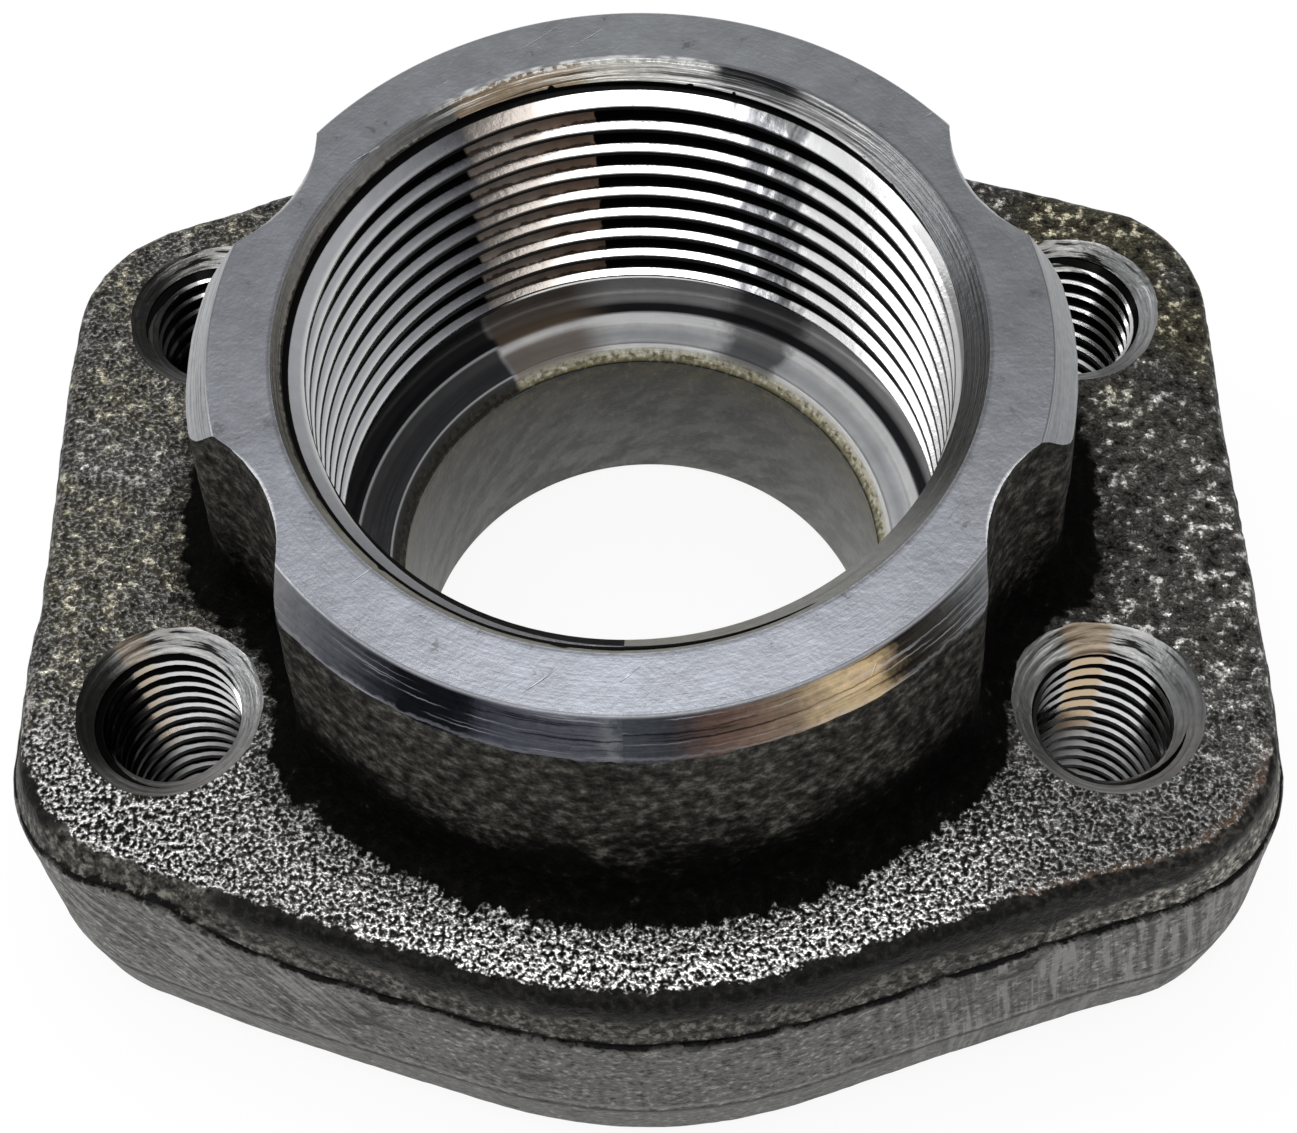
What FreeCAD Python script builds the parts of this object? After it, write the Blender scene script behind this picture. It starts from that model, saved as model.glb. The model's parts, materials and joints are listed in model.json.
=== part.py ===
import FreeCAD, Part
import math
import os

# Threaded four-bolt flange: one forged and machined steel piece, in millimetres.
# The flat sealing face lies on Z = 0, the bore runs up the Z axis, and the long
# side of the plate lies along X.

# Bolt pattern, tapped right through the plate
BOLT_SPACING_X = 58.7
BOLT_SPACING_Y = 30.2
BOLT_DRILL_DIAMETER = 8.5
BOLT_SINK_DIAMETER = 11.8
BOLT_EXIT_SINK_DIAMETER = 10.6

# Plate: the outline of its trimmed band, and the drafts below and above the band
PLATE_LENGTH = 79.0
PLATE_WIDTH = 69.2
PLATE_THICKNESS = 22.0
CORNER_RADIUS = 9.8
FLANK_ANGLE = 18.8
BAND_BOTTOM = 6.3
BAND_TOP = 17.5
LOWER_DRAFT = 8.0
UPPER_DRAFT = 15.0
TOP_EDGE_RADIUS = 1.0

# Hub: its forged outline is measured at the lower edge of the turned chamfer. A
# scallop round each bolt clears the bolt head, and the whole outline is drafted.
# A straight bevel stands for the rounded foot.
FLANGE_HEIGHT = 41.2
HUB_RADIUS = 26.7
SCALLOP_RADIUS = 9.5
SCALLOP_CORNER_RADIUS = 2.2
HUB_DRAFT = 2.5
FACE_RADIUS = 25.1
CHAMFER_HEIGHT = 2.5
HUB_FOOT_BEVEL = 1.9

# Pipe thread, 11 turns to the inch, bored at its minor diameter
THREAD_MINOR_DIAMETER = 38.952
THREAD_MOUTH_DIAMETER = 42.6
THREAD_LENGTH = 22.2

# Below the thread: relief groove, shoulder with a bevelled lip, and flow bore
RELIEF_DIAMETER = 42.3
RELIEF_WIDTH = 2.8
RELIEF_CORNER_BEVEL = 0.6
LIP_DIAMETER = 38.6
LIP_BEVEL = 0.8
SHOULDER_DIAMETER = 33.8
FLOW_DIAMETER = 32.2
FLOW_BEVEL_HEIGHT = 1.1

# How far a cutting solid reaches past the face that it opens
CUT_MARGIN = 1.0

QUADRANTS = ((1, 1), (-1, 1), (-1, -1), (1, -1))
ORIGIN = FreeCAD.Vector(0, 0, 0)
UP = FreeCAD.Vector(0, 0, 1)


def tan_deg(angle):
    return math.tan(math.radians(angle))


def outline_points(inset):
    """Points of the plate outline in the first quadrant, inset from the trimmed band.

    A straight side, a corner arc, a sloping flank, and an arc about the bore that the
    flank is tangent to."""
    side_x = PLATE_LENGTH / 2 - inset
    middle_radius = PLATE_WIDTH / 2 - inset
    corner_radius = CORNER_RADIUS - inset
    normal_x = math.sin(math.radians(FLANK_ANGLE))
    normal_y = math.cos(math.radians(FLANK_ANGLE))
    centre_x = side_x - corner_radius
    centre_y = (middle_radius - corner_radius - normal_x * centre_x) / normal_y
    half_turn = math.radians((90 - FLANK_ANGLE) / 2)
    return {
        "side": (side_x, centre_y),
        "corner": (centre_x + corner_radius * math.cos(half_turn),
                   centre_y + corner_radius * math.sin(half_turn)),
        "flank_out": (centre_x + corner_radius * normal_x,
                      centre_y + corner_radius * normal_y),
        "flank_in": (middle_radius * normal_x, middle_radius * normal_y),
        "middle": (0, middle_radius),
    }


def arc_edge(start, through, end, z):
    """Arc through three points in the plane at height z."""
    return Part.Arc(*[FreeCAD.Vector(x, y, z) for x, y in (start, through, end)]).toShape()


def line_edge(start, end, z):
    return Part.LineSegment(*[FreeCAD.Vector(x, y, z) for x, y in (start, end)]).toShape()


def plate_wire(inset, z):
    """The whole outline at height z, as lines and tangent arcs, counter-clockwise."""
    points = outline_points(inset)

    def at(name, sign):
        return (points[name][0] * sign[0], points[name][1] * sign[1])

    edges = []
    for here, following in ((0, 1), (2, 3)):
        sign = QUADRANTS[here]
        mirrored = QUADRANTS[following]
        opposite = QUADRANTS[(following + 1) % 4]
        edges += [
            arc_edge(at("side", sign), at("corner", sign), at("flank_out", sign), z),
            line_edge(at("flank_out", sign), at("flank_in", sign), z),
            arc_edge(at("flank_in", sign), at("middle", sign), at("flank_in", mirrored), z),
            line_edge(at("flank_in", mirrored), at("flank_out", mirrored), z),
            arc_edge(at("flank_out", mirrored), at("corner", mirrored), at("side", mirrored), z),
            line_edge(at("side", mirrored), at("side", opposite), z),
        ]
    return Part.Wire(edges)


def lies_at(edge, z):
    """True for an edge that lies in the horizontal plane at height z."""
    box = edge.BoundBox
    return abs(box.ZMin - z) < 1e-4 and abs(box.ZMax - z) < 1e-4


def make_plate():
    """The forged plate, drafted away from the trimmed band on both sides."""
    lower_inset = BAND_BOTTOM * tan_deg(LOWER_DRAFT)
    upper_inset = (PLATE_THICKNESS - BAND_TOP) * tan_deg(UPPER_DRAFT)
    wires = [
        plate_wire(lower_inset, 0),
        plate_wire(0, BAND_BOTTOM),
        plate_wire(0, BAND_TOP),
        plate_wire(upper_inset, PLATE_THICKNESS),
    ]
    layers = [Part.makeLoft([below, above], True, True) for below, above in zip(wires, wires[1:])]
    plate = layers[0].fuse(layers[1:])
    rim = [edge for edge in plate.Edges if lies_at(edge, PLATE_THICKNESS)]
    return plate.makeFillet(TOP_EDGE_RADIUS, rim)


def bolt_centres():
    return [(sx * BOLT_SPACING_X / 2, sy * BOLT_SPACING_Y / 2) for sx, sy in QUADRANTS]


def polar(radius, angle, centre=(0, 0)):
    return (centre[0] + radius * math.cos(angle), centre[1] + radius * math.sin(angle))


def hub_arcs(inset, bolt):
    """Arcs of the hub's outline beside one bolt, each as start, middle and end points.

    A rounded corner leads off the hub's circle on each side of a scallop that is
    concentric with the bolt. All three keep their centres as the outline is inset. A bolt
    too far out to need a scallop has no arcs."""
    hub = HUB_RADIUS - inset
    scallop = SCALLOP_RADIUS + inset
    corner = SCALLOP_CORNER_RADIUS - inset
    to_bolt = math.hypot(*bolt)
    to_corner = hub - corner
    bolt_to_corner = scallop + corner
    if to_bolt >= to_corner + bolt_to_corner:
        return []
    bolt_angle = math.atan2(bolt[1], bolt[0])
    cosine = (to_bolt ** 2 + to_corner ** 2 - bolt_to_corner ** 2) / (2 * to_bolt * to_corner)
    spread = math.acos(cosine)
    arcs = []
    for side in (-1, 1):
        corner_angle = bolt_angle + side * spread
        centre = polar(to_corner, corner_angle)
        towards_bolt = math.atan2(bolt[1] - centre[1], bolt[0] - centre[0])
        turn = math.remainder(towards_bolt - corner_angle, 2 * math.pi)
        arcs.append((polar(corner, corner_angle, centre),
                     polar(corner, corner_angle + turn / 2, centre),
                     polar(corner, towards_bolt, centre)))
    entering, leaving = arcs
    scallop_arc = (entering[2], polar(scallop, bolt_angle + math.pi, bolt), leaving[2])
    return [entering, scallop_arc, leaving[::-1]]


def hub_wire(z):
    """The hub's whole outline at height z, drafted from the chamfer's lower edge."""
    inset = (z - (FLANGE_HEIGHT - CHAMFER_HEIGHT)) * tan_deg(HUB_DRAFT)
    arcs = [arc for bolt in bolt_centres() for arc in hub_arcs(inset, bolt)]
    if not arcs:
        return Part.Wire(Part.makeCircle(HUB_RADIUS - inset, FreeCAD.Vector(0, 0, z)))
    edges = []
    for arc, following in zip(arcs, arcs[1:] + arcs[:1]):
        edges.append(arc_edge(*arc, z))
        if math.dist(arc[2], following[0]) > 1e-6:
            half = math.atan2(arc[2][1] + following[0][1], arc[2][0] + following[0][0])
            edges.append(arc_edge(arc[2], polar(HUB_RADIUS - inset, half), following[0], z))
    return Part.Wire(edges)


def revolved(profile):
    """Solid of revolution about Z from a closed list of edges in the XZ plane."""
    return Part.Face(Part.Wire(profile)).revolve(ORIGIN, UP, 360)


def profile_line(start, end):
    return Part.LineSegment(FreeCAD.Vector(start[0], 0, start[1]),
                            FreeCAD.Vector(end[0], 0, end[1])).toShape()


def closed_profile(points):
    return [profile_line(start, end) for start, end in zip(points, points[1:] + points[:1])]


def make_turning(top_z):
    """What is turned off the top of the hub: all above its end face and chamfer."""
    chamfer_slope = (HUB_RADIUS - FACE_RADIUS) / CHAMFER_HEIGHT
    low_radius = HUB_RADIUS + CUT_MARGIN * chamfer_slope
    return revolved(closed_profile([
        (0, FLANGE_HEIGHT),
        (FACE_RADIUS, FLANGE_HEIGHT),
        (low_radius, FLANGE_HEIGHT - CHAMFER_HEIGHT - CUT_MARGIN),
        (low_radius, top_z),
        (0, top_z),
    ]))


def make_hub():
    """The hub, from just inside the plate up: forged with scallops, then turned."""
    foot_z = PLATE_THICKNESS - CUT_MARGIN
    over_z = FLANGE_HEIGHT + CUT_MARGIN
    hub = Part.makeLoft([hub_wire(foot_z), hub_wire(over_z)], True, True)
    return hub.cut(make_turning(over_z + CUT_MARGIN))


def make_forging():
    """Plate and hub in one, with the sloping foot round the hub."""
    forging = make_plate().fuse(make_hub()).removeSplitter()
    reach = HUB_RADIUS + (FLANGE_HEIGHT - CHAMFER_HEIGHT - PLATE_THICKNESS) * tan_deg(HUB_DRAFT)
    foot = []
    for edge in forging.Edges:
        middle = edge.CenterOfMass
        if lies_at(edge, PLATE_THICKNESS) and math.hypot(middle.x, middle.y) < reach + 1e-3:
            foot.append(edge)
    return forging.makeChamfer(HUB_FOOT_BEVEL, foot)


def bore_profile():
    """Half section of everything that is bored out on the axis, from the top down."""
    minor = THREAD_MINOR_DIAMETER / 2
    mouth = THREAD_MOUTH_DIAMETER / 2
    relief = RELIEF_DIAMETER / 2
    corner = RELIEF_CORNER_BEVEL
    lip = LIP_DIAMETER / 2
    shoulder = SHOULDER_DIAMETER / 2
    flow = FLOW_DIAMETER / 2
    relief_top = FLANGE_HEIGHT - THREAD_LENGTH
    relief_floor = relief_top - RELIEF_WIDTH
    shoulder_z = relief_floor - LIP_BEVEL
    return closed_profile([
        (0, -CUT_MARGIN),
        (0, FLANGE_HEIGHT + CUT_MARGIN),
        (mouth + CUT_MARGIN, FLANGE_HEIGHT + CUT_MARGIN),
        (minor, FLANGE_HEIGHT - (mouth - minor)),
        (minor, relief_top),
        (relief, relief_top),
        (relief, relief_floor + corner),
        (relief - corner, relief_floor),
        (lip, relief_floor),
        (lip - LIP_BEVEL, shoulder_z),
        (shoulder, shoulder_z),
        (flow, shoulder_z - FLOW_BEVEL_HEIGHT),
        (flow, -CUT_MARGIN),
    ])


def bolt_hole_profile():
    """Half section of one tapped hole, with a 90 degree countersink at each end."""
    drill = BOLT_DRILL_DIAMETER / 2
    sink = BOLT_SINK_DIAMETER / 2
    exit_sink = BOLT_EXIT_SINK_DIAMETER / 2
    return closed_profile([
        (0, -CUT_MARGIN),
        (exit_sink + CUT_MARGIN, -CUT_MARGIN),
        (drill, exit_sink - drill),
        (drill, PLATE_THICKNESS - (sink - drill)),
        (sink, PLATE_THICKNESS),
        (sink, FLANGE_HEIGHT),
        (0, FLANGE_HEIGHT),
    ])


def make_flange():
    flange = make_forging().cut(revolved(bore_profile()))
    for x, y in bolt_centres():
        hole = revolved(bolt_hole_profile())
        hole.translate(FreeCAD.Vector(x, y, 0))
        flange = flange.cut(hole)
    return flange.removeSplitter()


def main():
    os.makedirs("parts", exist_ok=True)
    flange = make_flange().Solids[0]
    flange.exportStep("parts/flange_body.step")


main()
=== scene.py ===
import json
import math
from contextlib import contextmanager

import bmesh
import bpy
import numpy as np
from mathutils import Matrix, Vector, noise


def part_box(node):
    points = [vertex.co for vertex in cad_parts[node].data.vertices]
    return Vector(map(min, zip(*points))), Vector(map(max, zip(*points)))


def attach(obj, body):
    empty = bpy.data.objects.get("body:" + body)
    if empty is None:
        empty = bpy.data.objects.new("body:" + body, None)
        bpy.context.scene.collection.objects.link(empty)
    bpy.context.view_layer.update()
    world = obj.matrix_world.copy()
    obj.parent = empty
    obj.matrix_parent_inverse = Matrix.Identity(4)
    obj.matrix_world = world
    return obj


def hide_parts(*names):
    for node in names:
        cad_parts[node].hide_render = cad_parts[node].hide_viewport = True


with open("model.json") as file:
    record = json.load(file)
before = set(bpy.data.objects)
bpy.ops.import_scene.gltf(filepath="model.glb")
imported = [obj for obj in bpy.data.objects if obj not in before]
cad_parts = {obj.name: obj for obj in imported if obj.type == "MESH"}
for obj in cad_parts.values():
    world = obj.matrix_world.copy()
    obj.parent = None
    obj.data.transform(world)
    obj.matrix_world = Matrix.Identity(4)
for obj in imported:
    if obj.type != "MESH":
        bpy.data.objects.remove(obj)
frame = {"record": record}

bl_info = {
    "name": "Threaded Flange",
    "version": (1, 0, 0),
    "blender": (4, 5, 0),
    "location": "View3D > Sidebar > Flange",
    "description": "Models a forged four-bolt flange with its turned hub and cut threads",
    "category": "Add Mesh",
}

MM = 0.001
NODE = "flange_body"
PIECE = "threaded_flange"

CAD_LOW, CAD_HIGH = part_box(NODE)
MOUNTS = {mount["name"]: mount for mount in frame["record"]["mounts"]}
BOLT_DIMS = MOUNTS["bolt_holes"]["dims"]

PHOTO_WIDTH = 1297
PHOTO_HEIGHT = 1133

# Where the photograph's camera looks, and the pixel that its axis goes through
CAMERA_TARGET = Vector((-0.954896, 6.428035, 20.0)) * MM
CAMERA_CENTRE = (626.019, 433.724)

# Each lamp's name, place, width, depth and power
LAMPS = (("over", (0.0, 0.0, 1.0), 0.62, 0.84, 6.0),
         ("window", (-0.80, 0.12, 0.62), 0.50, 0.70, 2.2))

# How far a cutter reaches past the face that it cuts
REACH = 1 * MM
# How far a drilled wall stays inside the crests, so that the screw cuts all of it
OVERLAP = 0.02 * MM
# How far the blank rises above the end face, for the turning to take off
SPARE_HEIGHT = 0.6 * MM

# Rings of the blank between the plate's edge and the foot, round the foot, and up the wall
TOP_STEPS, FOOT_STEPS, WALL_STEPS = 14, 6, 22
DRILL_STEPS = 96
PIPE_TURNS, BOLT_TURNS = 11, 17

# Points closer than these are merged: in a screw, in a cutter, and in the cut piece, where
# edges shorter than the last are closed up
SCREW_MERGE, CUTTER_MERGE, PIECE_MERGE, SLIVER = 2e-6, 1e-7, 4e-6, 1e-6
# Points of the blank that are this near to the table belong to its sealing face
LEVEL = 0.001 * MM
SHARP_ANGLE = math.radians(24)

# The shares of the swells and of the blasted grain that each part of the blank carries
RELIEF = {"faced": (0.0, 0.0), "side": (0.35, 0.35), "grain": (1.0, 1.0),
          "foot": (2.1, 1.3), "wall": (0.8, 0.55), "crown": (0.0, 0.0)}


# Sizes that a user may change, written here in millimetres and kept in metres

def size(name, description, millimetres, lowest=0.0):
    return bpy.props.FloatProperty(
        name=name, description=description, default=millimetres * MM, min=lowest * MM,
        unit="LENGTH", subtype="DISTANCE", precision=5)


def turn(name, description, degrees):
    return bpy.props.FloatProperty(
        name=name, description=description, default=math.radians(degrees),
        unit="ROTATION", subtype="ANGLE")


def count(name, description, default, lowest):
    return bpy.props.IntProperty(name=name, description=description, default=default, min=lowest)


def colour(name, description, red, green, blue):
    return bpy.props.FloatVectorProperty(
        name=name, description=description, default=(red, green, blue), min=0.0, max=1.0,
        size=3, subtype="COLOR")


class PlateSizes(bpy.types.PropertyGroup):
    """Sizes of the forged plate."""
    length: size("Length", "Across the two straight sides", (CAD_HIGH[0] - CAD_LOW[0]) / MM)
    width: size("Width", "Across the two rounded flanks", (CAD_HIGH[1] - CAD_LOW[1]) / MM)
    thickness: size("Thickness", "From the sealing face to the plate's top", 22.0)
    corner_radius: size("Corner radius", "Rounding between a side and a flank", 9.8)
    flank_angle: turn("Flank angle", "Slope of the flanks against the long axis", 18.8)
    band_bottom: size("Band bottom", "Height where the trimmed band starts", 6.3)
    band_top: size("Band top", "Height where the trimmed band ends", 17.5)
    lower_draft: turn("Lower draft", "Draft of the strip below the band", 8.0)
    shoulder_inset: size("Shoulder inset", "How far the top edge lies in from the band", 1.25)
    edge_radius: size("Edge radius", "Rounding of the plate's top edge", 0.9)
    ledge: size("Ledge", "Step that the trimming left above the band", 0.32)


class HubSizes(bpy.types.PropertyGroup):
    """Sizes of the hub on the plate."""
    height: size("Height", "From the sealing face to the hub's end face",
                 (CAD_HIGH[2] - CAD_LOW[2]) / MM)
    radius: size("Radius", "Forged radius at the chamfer's lower edge", 26.7)
    draft: turn("Draft", "Draft of the hub's forged wall", 2.5)
    face_radius: size("Face radius", "Outer radius of the turned end face", 25.1)
    chamfer_height: size("Chamfer height", "Height of the turned chamfer", 2.5)
    foot_radius: size("Foot radius", "Fillet between hub and plate", 2.6)
    scallop_radius: size("Scallop radius", "Clearance round a bolt, at the chamfer", 9.5)
    scallop_corner: size("Scallop corner", "Rounding beside a scallop", 2.2)


class BoreSizes(bpy.types.PropertyGroup):
    """Sizes of the bore and of its pipe thread."""
    crest_radius: size("Crest radius", "Radius that the thread's crests reach",
                       MOUNTS["pipe_thread"]["dims"]["r_mm"])
    root_radius: size("Root radius", "Radius of the thread's roots", 20.955)
    pitch: size("Pitch", "Axial advance of one turn", 25.4 / 11)
    mouth_radius: size("Mouth radius", "Outer radius of the lead-in cone", 21.3)
    thread_length: size("Thread length", "From the end face to the relief groove", 22.2)
    relief_radius: size("Relief radius", "Radius of the groove below the thread", 21.15)
    relief_width: size("Relief width", "Height of the relief groove", 2.8)
    lip_radius: size("Lip radius", "Inner edge of the relief groove's floor", 19.3)
    lip_bevel: size("Lip bevel", "Bevel from the groove's floor down to the shoulder", 0.8)
    shoulder_radius: size("Shoulder radius", "Inner edge of the shoulder", 16.9)
    flow_radius: size("Flow radius", "Radius of the plain bore",
                      MOUNTS["flow_bore"]["dims"]["r_mm"])
    flow_bevel: size("Flow bevel", "Height of the rough bevel above the plain bore", 1.1)
    thread_phase: turn("Thread phase", "Where the thread starts", -109.1)


class BoltSizes(bpy.types.PropertyGroup):
    """Sizes of the four tapped holes."""
    spacing_x: size("Spacing X", "Between holes along the plate", BOLT_DIMS["spacing_x_mm"])
    spacing_y: size("Spacing Y", "Between holes across the plate", BOLT_DIMS["spacing_y_mm"])
    crest_radius: size("Crest radius", "Drilled radius", BOLT_DIMS["hole_r_mm"])
    root_radius: size("Root radius", "Radius of the thread's roots", 5.0)
    pitch: size("Pitch", "Axial advance of one turn", 1.5)
    sink_radius: size("Countersink", "Radius of the countersink's rim", 5.9)
    exit_radius: size("Exit countersink", "The same on the sealing face", 5.3)


class ForgingQuirks(bpy.types.PropertyGroup):
    """How this one forging departs from the nominal part."""
    plate_shift: size("Plate shift", "Mismatch of the plate and the bored axis, across", -1.1,
                      lowest=-5.0)
    tight_scallop: size("Tight scallop", "Radius of the scallop at the front right", 9.0)
    waviness: size("Waviness", "Height of the slow swells in the forged skin", 0.12)
    pitting: size("Pitting", "Depth of the blasted grain that the mesh carries", 0.07)


class MeshDetail(bpy.types.PropertyGroup):
    """How finely the piece is divided."""
    around: count("Around", "Steps round the forging", 440, 120)
    turned: count("Turned", "Steps round a turned surface", 240, 64)
    thread: count("Thread", "Steps in one turn of the pipe thread", 112, 24)
    bolt_thread: count("Bolt thread", "Steps in one turn of a bolt thread", 40, 12)


class FinishColours(bpy.types.PropertyGroup):
    """Colours of the metal's finishes, and of the painted shade in its corners."""
    olive: colour("Olive", "Tint of the oily hollows on the left", 0.95, 0.86, 0.52)
    rust_and_reflected_brown: colour("Rust", "Rust along the front right edge", 0.24, 0.14, 0.085)
    # Painted shade: a nearly black colour laid where shade falls, in the hub's foot and along the
    # plate side's upper edge
    painted_shade: colour("Soot", "Nearly black scale in the corners", 0.0012, 0.0011, 0.0010)


class StageSettings(bpy.types.PropertyGroup):
    """Floor and camera."""
    floor_size: size("Floor size", "Side of the square floor", 6000.0)
    floor: colour("Floor", "Colour of the floor", 0.93, 0.93, 0.93)
    elevation: turn("Elevation", "Camera height above the horizon", 57.5349)
    azimuth: turn("Azimuth", "Camera turn about the bore", 3.8793)
    roll: turn("Roll", "Camera roll", -3.6589)
    distance: size("Distance", "Camera distance from its target", 175.003)
    focal_pixels: bpy.props.FloatProperty(
        name="Focal length", description="Focal length in pixels of the photograph",
        default=2592.787)


# Height of the trimmed band's top line above its nominal height, in millimetres, at
# angles in degrees round the plate: the trimming ran up one corner of this forging
FLASH_LINE = ((0, -0.3), (40, -0.2), (140, 0.2), (196, 0.2), (206, 0.6), (212, 2.0), (217, 2.9),
              (221, 3.0), (224, 2.5), (227, 1.3), (231, 0.1), (250, 0.0), (271, 0.25), (295, -0.5),
              (314, -0.7), (321, -0.6), (325, 0.2), (329, 0.0), (334, -0.6), (360, -0.3))

# How far this plate's outline stands out from the nominal one, in millimetres, likewise
OUTLINE_DRIFT = ((0, 0.68), (5, 0.48), (11, 0.32), (18, 0.2), (25, 0.24), (29, 0.32), (35, 0.6),
                 (42, 0.65), (48, 0.45), (54, 0.2), (62, 0.0), (125, 0.0), (132, 0.1),
                 (138, -0.2), (144, -0.2), (151, 0.05), (157, 0.5), (165, 0.6), (175, 0.4),
                 (189, 0.12), (195, 0.5), (202, 0.34), (209, 0.04), (218, 0.0), (225, 0.2),
                 (232, 0.22), (240, 0.1), (246, 0.0), (254, -0.12), (262, -0.1), (270, 0.0),
                 (313, -0.05), (319, 0.05), (325, 0.5), (331, 0.85), (338, 1.3), (344, 1.36),
                 (351, 1.05), (358, 0.73), (360, 0.68))


# Outlines, as distances from the axis at an array of angles

def ring_at(angle, distance, height):
    """Points round the axis, one at each angle."""
    return np.stack([distance * np.cos(angle), distance * np.sin(angle),
                     np.full_like(angle, height)], axis=1)


def bolt_centres(bolts):
    """The four bolt axes, one for each corner of their rectangle."""
    return [(sx * bolts.spacing_x / 2, sy * bolts.spacing_y / 2)
            for sx, sy in ((1, 1), (-1, 1), (-1, -1), (1, -1))]


def wrapped(angle):
    """The angle, brought between minus and plus half a turn."""
    return (angle + math.pi) % (2 * math.pi) - math.pi


def plate_distance(angle, plate, inset):
    """From the plate's centre to its outline, drawn in by inset."""
    along = np.maximum(np.abs(np.cos(angle)), 1e-9)
    across = np.abs(np.sin(angle))
    side = plate.length / 2 - inset
    middle = plate.width / 2 - inset
    corner = plate.corner_radius - inset
    slope = (math.sin(plate.flank_angle), math.cos(plate.flank_angle))
    centre_x = side - corner
    centre_y = (middle - corner - slope[0] * centre_x) / slope[1]
    leaning = np.arctan2(across, along)
    distance = np.minimum(side / along, middle / (slope[0] * along + slope[1] * across))
    distance = np.where(leaning > math.atan2(slope[1], slope[0]), middle, distance)
    start = math.atan2(centre_y, side)
    end = math.atan2(centre_y + corner * slope[1], centre_x + corner * slope[0])
    reach = centre_x * along + centre_y * across
    past = np.clip(corner ** 2 - (centre_x * across - centre_y * along) ** 2, 0, None)
    return np.where((leaning > start) & (leaning < end), reach + np.sqrt(past), distance)


def hub_distance(angle, hub, bolts, quirks, outset):
    """From the bore's axis to the hub's outline, pushed out by outset."""
    outer = hub.radius + outset
    corner = hub.scallop_corner + outset
    to_corner = outer - corner
    distance = np.full_like(angle, outer)
    for x, y in bolt_centres(bolts):
        scallop = (quirks.tight_scallop if x > 0 > y else hub.scallop_radius) - outset
        away = math.hypot(x, y)
        cosine = (away ** 2 + to_corner ** 2 - (scallop + corner) ** 2) / (2 * away * to_corner)
        spread = math.acos(cosine)
        centre = Vector((to_corner * math.cos(spread), to_corner * math.sin(spread)))
        touch = centre + (Vector((away, 0.0)) - centre).normalized() * corner
        meeting = math.atan2(touch.y, touch.x)
        off = np.abs(wrapped(angle - math.atan2(y, x)))
        hollow = away * np.cos(off) - np.sqrt(
            np.clip(scallop ** 2 - (away * np.sin(off)) ** 2, 0, None))
        beside = spread - off
        rounded = to_corner * np.cos(beside) + np.sqrt(
            np.clip(corner ** 2 - (to_corner * np.sin(beside)) ** 2, 0, None))
        distance = np.where(off <= meeting, hollow, distance)
        distance = np.where((off > meeting) & (off < spread), rounded, distance)
    return distance


# The forged blank, laid as rings round the axis

def plate_point(angle, plate, quirks, inset, height):
    """One ring on the plate's outline, with this forging's shift, drift and flash line."""
    distance = plate_distance(angle, plate, inset) + outline_drift(angle)
    x = distance * np.cos(angle)
    y = distance * np.sin(angle) + quirks.plate_shift
    low, high = plate.band_bottom, plate.band_top
    lift = np.interp(height, [low, high, high + 0.4 * MM, plate.thickness - 0.6 * MM],
                     [0.0, 1.0, 1.0, 0.0])
    return np.stack([x, y, height + flash_rise(angle) * lift], axis=1)


def table_value(table, angle):
    """A table's value in between its angles."""
    degrees, values = zip(*table)
    return np.interp(np.degrees(angle) % 360, degrees, values)


def outline_drift(angle):
    """How far this forging's outline lies outside the nominal one, at each angle."""
    return table_value(OUTLINE_DRIFT, angle) * MM


def flash_rise(angle):
    """How far this forging's flash line lies above its nominal height, at each angle."""
    turned = np.degrees(angle) % 360
    rise = table_value(FLASH_LINE, angle)
    return (rise + 0.14 * np.sin(turned * 0.23) + 0.08 * np.sin(turned * 0.71 + 1)
            + 0.05 * np.sin(turned * 1.9)) * MM


def side_profile(plate):
    """Insets and heights of the plate's side, from the sealing face to its top edge."""
    lower = plate.band_bottom * math.tan(plate.lower_draft)
    low, high, top = plate.band_bottom, plate.band_top, plate.thickness
    points = [(lower + 0.45 * MM, 0.0), (lower + 0.12 * MM, 0.12 * MM), (lower * 0.94, 0.5 * MM)]
    points += [(lower * (1 - k), low * k) for k in (0.25, 0.45, 0.65, 0.82, 0.93)]
    points += [(0.05 * MM, low), (0.0, low + 0.35 * MM)]
    points += [(0.0, low + (high - low) * k) for k in np.linspace(0.09, 0.955, 12)]
    points += [(0.02 * MM, high - 0.22 * MM), (0.14 * MM, high - 0.02 * MM)]
    points += [(plate.ledge + 0.10 * MM, high + 0.06 * MM), (plate.ledge, high + 0.40 * MM)]
    slope = (plate.shoulder_inset - plate.ledge) / (top - high)
    radius = plate.edge_radius
    bend = math.pi / 2 - math.atan(slope)
    reach = radius * math.tan(bend / 2)
    start = top - high - reach * math.cos(math.atan(slope))
    points += [(plate.ledge + slope * start * k, high + start * k)
               for k in (0.25, 0.4, 0.55, 0.7, 0.85)]
    centre = (plate.shoulder_inset + reach, top - radius)
    points += [(centre[0] - radius * math.cos(math.pi / 2 - bend + bend * k),
                centre[1] + radius * math.sin(math.pi / 2 - bend + bend * k))
               for k in (0.0, 0.25, 0.5, 0.75, 1.0)]
    return points


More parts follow.
